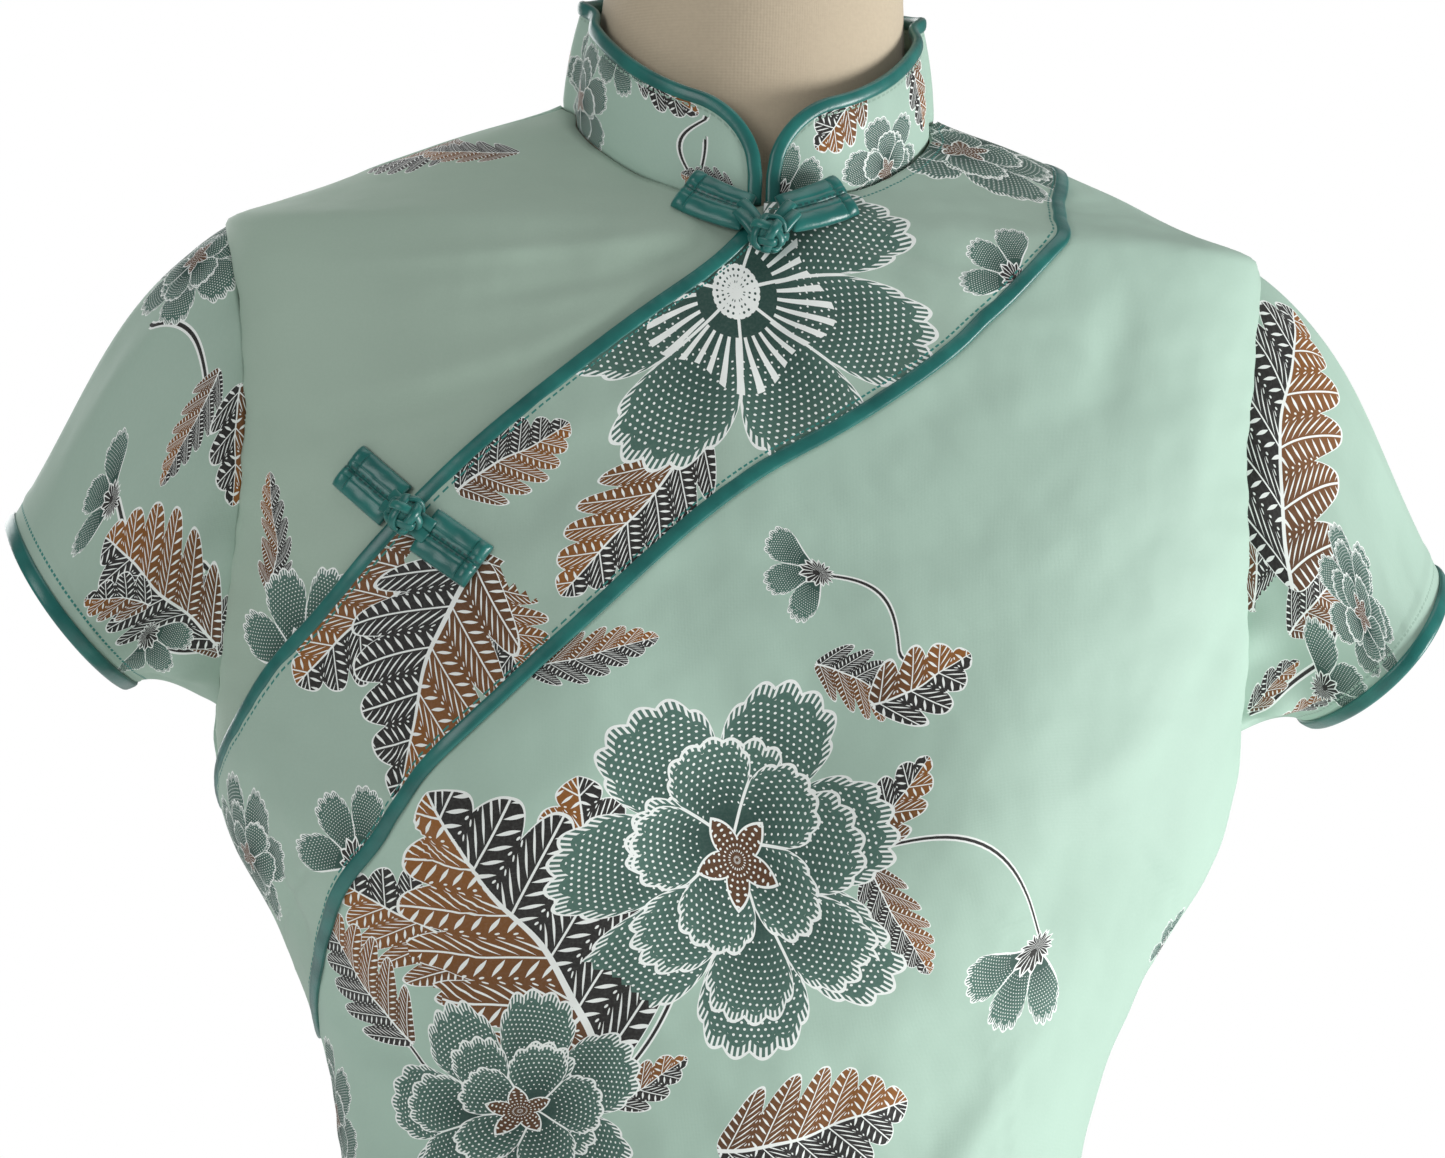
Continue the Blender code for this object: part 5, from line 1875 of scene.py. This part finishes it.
@dataclass
class Closures:
    """The two knotted buttons, each with its sewn tabs and the cords between."""

    collar: Collar
    satin: bpy.types.Material
    tab_width: float = 0.0165
    tab_cloth: float = 0.0006
    tab_height: float = 0.0017
    tab_stations: int = 9
    knot_radius: float = 0.0060
    knot_turns: int = 5
    knot_bights: int = 4
    knot_reach: float = 1.2
    knot_squash: float = 0.92
    knot_over: float = 0.0007
    cord_arch: float = 0.0012
    chest_knot: Place = (-49.5, 1.2545)
    neck_knot: Place = (0.2, 1.3826)
    # each tab at the chest: its name, its outer and inner ends, how far it lies off the cloth
    chest_tabs: tuple = (
        ("button_tab", (-57.3, 1.2715), (-51.4, 1.2585), 0.0006),
        ("loop_tab", (-40.9, 1.2385), (-47.6, 1.2505), 0.0019),
    )
    # each tab at the neck: its name, its side, how far it lies off the collar
    neck_tabs: tuple = (("button_tab", -1, 0.0047), ("loop_tab", 1, 0.0068))
    neck_tab_ends: Place = (21.5, 4.6)

    def build(self) -> None:
        """Makes both closures."""
        self.at_chest()
        self.at_neck()

    def tab(self, name: str, path: Array, ups: Array, node: str) -> None:
        """A flat sewn tab of two strips side by side, with folded ends.

        Args:
            name: The object's name.
            path: Points along the middle, from the outer end.
            ups: Direction out of the cloth at each point.
            node: The solid it stands for.
        """
        side = unit(np.cross(np.gradient(path, axis=0), ups))
        count = len(path) - 1

        def place(u: Array, v: Array) -> Array:
            """A point of the upper face, its rim tucked down.

            Args:
                u: Share of the way along.
                v: Share of the way across.

            Returns:
                The point.
            """
            x = u * count
            i = np.clip(x.astype(int), 0, count - 1)
            t = (x - i)[:, None]
            along, out, across = (row[i] * (1 - t) + row[i + 1] * t for row in (path, ups, side))
            w = (v - 0.5) * 2
            rim = np.clip(1 - np.abs(w) ** 6, 0, 1) ** 0.4 * np.clip(1 - np.abs(2 * u - 1) ** 14, 0, 1) ** 0.4
            rolls = 0.0009 * np.abs(np.sin(math.pi * v * 2)) ** 0.5
            groove = -0.0009 * bell(w, 0.0, 0.05) - 0.00025 * bell(np.abs(w), 0.34, 0.06)
            fold = 0.0007 * bell(u, 0.08, 0.08) - 0.0004 * bell(u, 0.19, 0.02)
            pucker = 0.00012 * np.sin(u * 17 + 3 * v) * np.sin(v * 11)
            height = rim * (self.tab_height + rolls + groove + fold + pucker)
            return along + across * (w * self.tab_width / 2)[:, None] + out * height[:, None]

        bm, shares = shaped_grid(90, 56, place)
        length = float(np.linalg.norm(np.diff(path, axis=0), axis=1).sum())
        cloth, stitch = (bm.loops.layers.uv.new(layer) for layer in ("cloth", "stitch"))
        for face in bm.faces:
            for loop in face.loops:
                u, v = shares[loop.vert.index]
                loop[cloth].uv = (u * length, v * self.tab_width)
                loop[stitch].uv = (0.0, abs(v - 0.5) * self.tab_width - 0.0010)
        outward(bm, Vector(path.mean(axis=0)) - Vector(ups.mean(axis=0)) * 0.05)
        made = settle(name, bm, self.satin)
        thicken(made, self.tab_cloth)
        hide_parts(node)

    def knot(self, name: str, centre: Array, out: Array, node: str) -> None:
        """A round button woven from one satin cord over a filled core.

        Args:
            name: The object's name.
            centre: The middle of the ball.
            out: Direction out of the cloth.
            node: The solid it stands for.
        """
        t = np.linspace(0, 2 * math.pi, 900, endpoint=False)
        turn = Vector(np.cross(np.array([1.0, 0.2, 0.3]), out)).to_track_quat("Z", "Y").to_matrix()
        radius = self.knot_radius - 0.0006
        lon, lat = self.knot_turns * t, self.knot_reach * np.sin(self.knot_bights * t)
        lift = radius + self.knot_over * np.sin(self.knot_bights**2 * t)
        ball = [np.cos(lon) * np.cos(lat), np.sin(lon) * np.cos(lat), np.sin(lat) * self.knot_squash]
        path = (np.stack(ball, -1) * lift[:, None]) @ np.array(turn).T + np.asarray(centre)
        section = rounded(0.0016, 0.0020, 10) - np.array([0, 0.0004])
        strands = strip(name, path, unit(path - np.asarray(centre)), section, self.satin, closed=True)
        core = bmesh.new()
        bmesh.ops.create_icosphere(core, subdivisions=4, radius=radius * 1.03)
        squashed = turn.to_4x4() @ Matrix.Diagonal((1, 1, 0.85, 1))
        bmesh.ops.transform(core, verts=core.verts, matrix=Matrix.Translation(Vector(centre)) @ squashed)
        inner = settle(name + "_core", core, self.satin)
        for layer in ("cloth", "stitch"):
            inner.data.uv_layers.new(name=layer)
        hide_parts(node)

    def cords(self, name: str, path: Array, ups: Array, knot: Array) -> None:
        """The two cords that run from a tab's inner end round the knot.

        Args:
            name: The tab's name.
            path: Points along the tab, the inner end last.
            ups: Direction out of the cloth at each point.
            knot: The middle of the knot.
        """
        ahead, up = unit(path[-1] - path[-2]), ups[-1]
        side = np.cross(ahead, up)
        t = np.linspace(0, 1, 24)[:, None]
        for sign in (-1, 1):
            start = path[-1] - ahead * 0.0030 + side * sign * 0.0024 + up * 0.0006
            end = knot - ahead * 0.0022 + side * sign * 0.0019 - up * 0.0034
            line = start + (end - start) * t + up * (np.sin(math.pi * t) * self.cord_arch)
            end_name = "near" if sign < 0 else "far"
            section = rounded(0.0024, 0.0032, 10)
            made = strip(f"{name}_cord_{end_name}", line, np.broadcast_to(up, line.shape), section, self.satin)

    def at_chest(self) -> None:
        """Makes the closure across the band's upper edge."""
        share = np.linspace(0, 1, self.tab_stations)
        knot_angle, knot_level = (np.array(place) for place in self.chest_knot)
        band_top = 0.0005 + 0.0018
        knot = BODY.point(knot_angle, knot_level, band_top + self.knot_radius * 0.85, False)
        for part, (a0, l0), (a1, l1), lift in self.chest_tabs:
            angle, level = a0 + (a1 - a0) * share, l0 + (l1 - l0) * share
            path, ups = BODY.point(angle, level, lift), unit(BODY.normal(angle, level))
            self.tab(f"chest_{part}", path, ups, f"frog_chest_{part}")
            self.cords(f"chest_{part}", path, ups, knot)
        self.knot("chest_knot", knot, unit(BODY.normal(knot_angle, knot_level)), "frog_chest_knot")

    def at_neck(self) -> None:
        """Makes the closure under the collar's meeting ends."""
        share = np.linspace(0, 1, self.tab_stations)
        out = unit(np.array([0.0, -0.88, 0.47]))
        angle, level = (np.array(place) for place in self.neck_knot)
        knot = BODY.point(angle, level, 0.0, False) + out * (0.0011 + self.knot_radius)
        outer, inner = self.neck_tab_ends
        for part, side, clear in self.neck_tabs:
            angle = side * (outer + (inner - outer) * share)
            pitch = np.radians(28.0 + 10.0 * share)[:, None]
            ups = level_out(angle) * np.cos(pitch) + np.array([0, 0, 1.0]) * np.sin(pitch)
            path = self.collar.point(angle, 0.0012 - 0.0052 * share, clear + 0.0038 * share)
            self.tab(f"neck_{part}", path, ups, f"frog_neck_{part}")
            self.cords(f"neck_{part}", path, ups, knot)
        self.knot("neck_knot", knot, out, "frog_neck_knot")


@dataclass
class DressForm:
    """The limbless form: linen torso and neck, wooden cap and socket, steel pole and base."""

    bottom: float = 0.74
    neck_top: float = 1.495
    neck_bend: float = 1.455
    neck_radius: float = 0.0552
    neck_inset: float = 0.0085
    neck_forward: float = 0.007
    cloth: float = 0.0012
    # level, ease at the sides, ease in front and behind
    eases: tuple = (
        (0.740, 0.0150, 0.0120),
        (0.850, 0.0100, 0.0080),
        (0.950, 0.0070, 0.0060),
        (1.000, 0.0050, 0.0050),
        (1.080, 0.0080, 0.0100),
        (1.130, 0.0140, 0.0080),
        (1.200, 0.0160, 0.0060),
        (1.300, 0.0120, 0.0050),
        (1.345, 0.0050, 0.0045),
        (1.352, 0.0018, 0.0040),
        (1.400, 0.0018, 0.0040),
    )

    def build(self) -> None:
        """Makes the torso and dresses the stand."""
        self.torso()
        wood = Hard("varnished_wood", (0.210, 0.095, 0.038), (0.080, 0.032, 0.013), 0.0, 0.30, 160.0).build()
        steel = Hard("brushed_steel", (0.62, 0.62, 0.63), (0.42, 0.42, 0.43), 1.0, 0.24, 900.0).build()
        for node, finish, slot in (
            ("form_neck_cap", wood, "wood"),
            ("form_socket", wood, "wood"),
            ("form_pole", steel, "steel"),
            ("form_base", steel, "steel"),
        ):
            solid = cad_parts[node]
            solid.data.materials.clear()
            solid.data.materials.append(finish)
            log.info("%s dressed", node)

    def torso(self) -> None:
        """The linen-covered torso and neck as one closed body."""
        columns, rows, top_rows = 120, 96, 24

        def place(u: Array, v: Array) -> Array:
            """A point of the torso's skin: the body below the neckline, then the neck.

            Args:
                u: Share of the way round.
                v: Share of the way up.

            Returns:
                The point.
            """
            angle = u * 360.0
            split = rows / (rows + top_rows)
            level = self.bottom + (BODY.neck_level - self.bottom) * np.clip(v / split, 0, 1)
            side, middle = np.moveaxis(smooth_columns(self.eases, level), -1, 0)
            from_side = np.abs(np.abs(turn_between(angle, 0.0)) - 90.0)
            near = np.where(level < 1.332, np.sin(np.radians(angle)) ** 2, bell(from_side, 0.0, 9.0))
            ease = middle + (side - middle) * near
            inward = unit(BODY.normal(angle, level)) * (self.cloth + ease)[:, None]
            low = BODY.point(angle, level, 0.0, False) - inward
            low[:, 2] = np.where(v < 1e-6, self.bottom, low[:, 2])
            share = np.clip((v - split) / (1 - split), 0, 1)
            seam = BODY.point(angle, np.full(angle.shape, BODY.neck_level), 0.0, False)
            start = np.linalg.norm(seam[:, :2], axis=1) - self.neck_inset
            flared = start + (self.neck_radius - start) * np.clip(share / 0.45, 0, 1) ** 0.6
            straight = np.interp(share, (0.45, 0.97, 1), (0.0550, 0.0545, 0.0520))
            rise = np.clip(share / 0.6, 0, 1)
            low_part = BODY.neck_height(angle) * (1 - rise) + rise * self.neck_bend + 0.002
            high_part = self.neck_bend + (self.neck_top - self.neck_bend) * (share - 0.6) / 0.4
            neck = level_out(angle) * np.where(share < 0.45, flared, straight)[:, None]
            neck[:, 1] -= self.neck_forward * rise
            neck[:, 2] = np.where(share > 0.6, high_part, low_part)
            return np.where((v <= split + 1e-6)[:, None], low, neck)

        bm, _ = shaped_grid(columns, rows + top_rows, place)
        bmesh.ops.remove_doubles(bm, verts=bm.verts, dist=WELD)
        bmesh.ops.holes_fill(bm, edges=[e for e in bm.edges if e.is_boundary], sides=0)
        bmesh.ops.recalc_face_normals(bm, faces=bm.faces)
        made = settle("form_torso_linen", bm, Linen().build())
        made.data.set_sharp_from_angle(angle=math.radians(50))
        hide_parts("form_torso")


@dataclass
class Studio:
    """A pale floor, soft lights and the camera at the photograph's angle."""

    look_at: tuple[float, float, float] = (-0.0035, 0.0, 1.229)
    distance: float = 1.5
    azimuth: float = -5.0
    roll: float = 2.05
    lens: float = 101.0

    def build(self) -> None:
        """Makes the floor, the lights, the backdrop colour and the camera."""
        self.floor()
        for name, place, size, power in (
            ("key", (1.9, -0.60, 1.00), 0.7, 42.0),
            ("fill", (-1.6, -1.6, 1.9), 1.2, 17.0),
            ("top", (0.3, -0.2, 3.0), 1.4, 9.0),
            ("rear", (-0.9, 2.0, 1.9), 1.6, 26.0),
        ):
            self.light(name, place, size, power)
        world = bpy.data.worlds.new("studio")
        world.use_nodes = True
        tree = world.node_tree
        seen = tree.nodes.new("ShaderNodeLightPath").outputs["Is Camera Ray"]
        strength = tree.nodes.new("ShaderNodeMapRange")
        strength.inputs["To Min"].default_value = 0.16
        tree.links.new(seen, strength.inputs["Value"])
        tree.links.new(strength.outputs[0], tree.nodes["Background"].inputs["Strength"])
        tree.nodes["Background"].inputs["Color"].default_value = (1.0, 1.0, 1.0, 1.0)
        scene = bpy.context.scene
        scene.world = world
        scene.view_settings.view_transform = "Standard"
        self.camera()

    def floor(self) -> None:
        """A plain pale floor."""
        bm = bmesh.new()
        bmesh.ops.create_grid(bm, x_segments=1, y_segments=1, size=4.0)
        mesh = bpy.data.meshes.new("floor")
        bm.to_mesh(mesh)
        bm.free()
        p = Paint("pale_floor")
        speck = p.noise(p.object_place(), 3.0, 2.0)
        p.feed(p.shader.inputs["Emission Color"], p.mix(speck, (0.96, 0.96, 0.96), (1.0, 1.0, 1.0)))
        pale = p.mix(speck, (0.66, 0.66, 0.65), (0.70, 0.70, 0.69))
        mesh.materials.append(p.finish(pale, 0.9, emission_strength=0.42))
        made = bpy.data.objects.new("floor", mesh)
        bpy.context.scene.collection.objects.link(made)

    def light(self, name: str, place: tuple[float, float, float], size: float, power: float) -> None:
        """One soft square light aimed at the dress.

        Args:
            name: Its name.
            place: Where it stands.
            size: Its edge in metres.
            power: Its power in watts.
        """
        data = bpy.data.lights.new(name, "AREA")
        data.size, data.energy = size, power
        made = bpy.data.objects.new(name, data)
        made.location = place
        made.rotation_euler = (Vector((0, 0, 1.2)) - Vector(place)).to_track_quat("-Z", "Y").to_euler()
        bpy.context.scene.collection.objects.link(made)

    def camera(self) -> None:
        """The camera, level with the chest and rolled a little as the photograph is."""
        data = bpy.data.cameras.new("camera")
        data.lens, data.sensor_width = self.lens, 36.0
        made = bpy.data.objects.new("camera", data)
        bpy.context.scene.collection.objects.link(made)
        turn = math.radians(self.azimuth)
        target = Vector(self.look_at)
        place = target + Vector((math.sin(turn), -math.cos(turn), 0)) * self.distance
        aim = (target - place).to_track_quat("-Z", "Y").to_matrix().to_4x4()
        rolled = Matrix.Rotation(math.radians(self.roll), 4, "Z")
        made.matrix_world = Matrix.Translation(place) @ aim @ rolled
        bpy.context.scene.camera = made


def main() -> None:
    """Builds the dress, the form and the studio."""
    finishes = Finishes.make()
    body = DressBody(finishes)
    body.panels()
    body.band()
    Sleeve(1, "left", finishes.bright, finishes.satin).build()
    # the right sleeve takes the cotton copy with the darker ground: painted shade
    Sleeve(-1, "right", finishes.shaded, finishes.satin).build()
    collar = Collar(finishes.bright, finishes.satin)
    collar.build()
    body.piping()
    Closures(collar, finishes.satin).build()
    DressForm().build()
    Studio().build()
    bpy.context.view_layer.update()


if __name__ == "__main__":
    main()
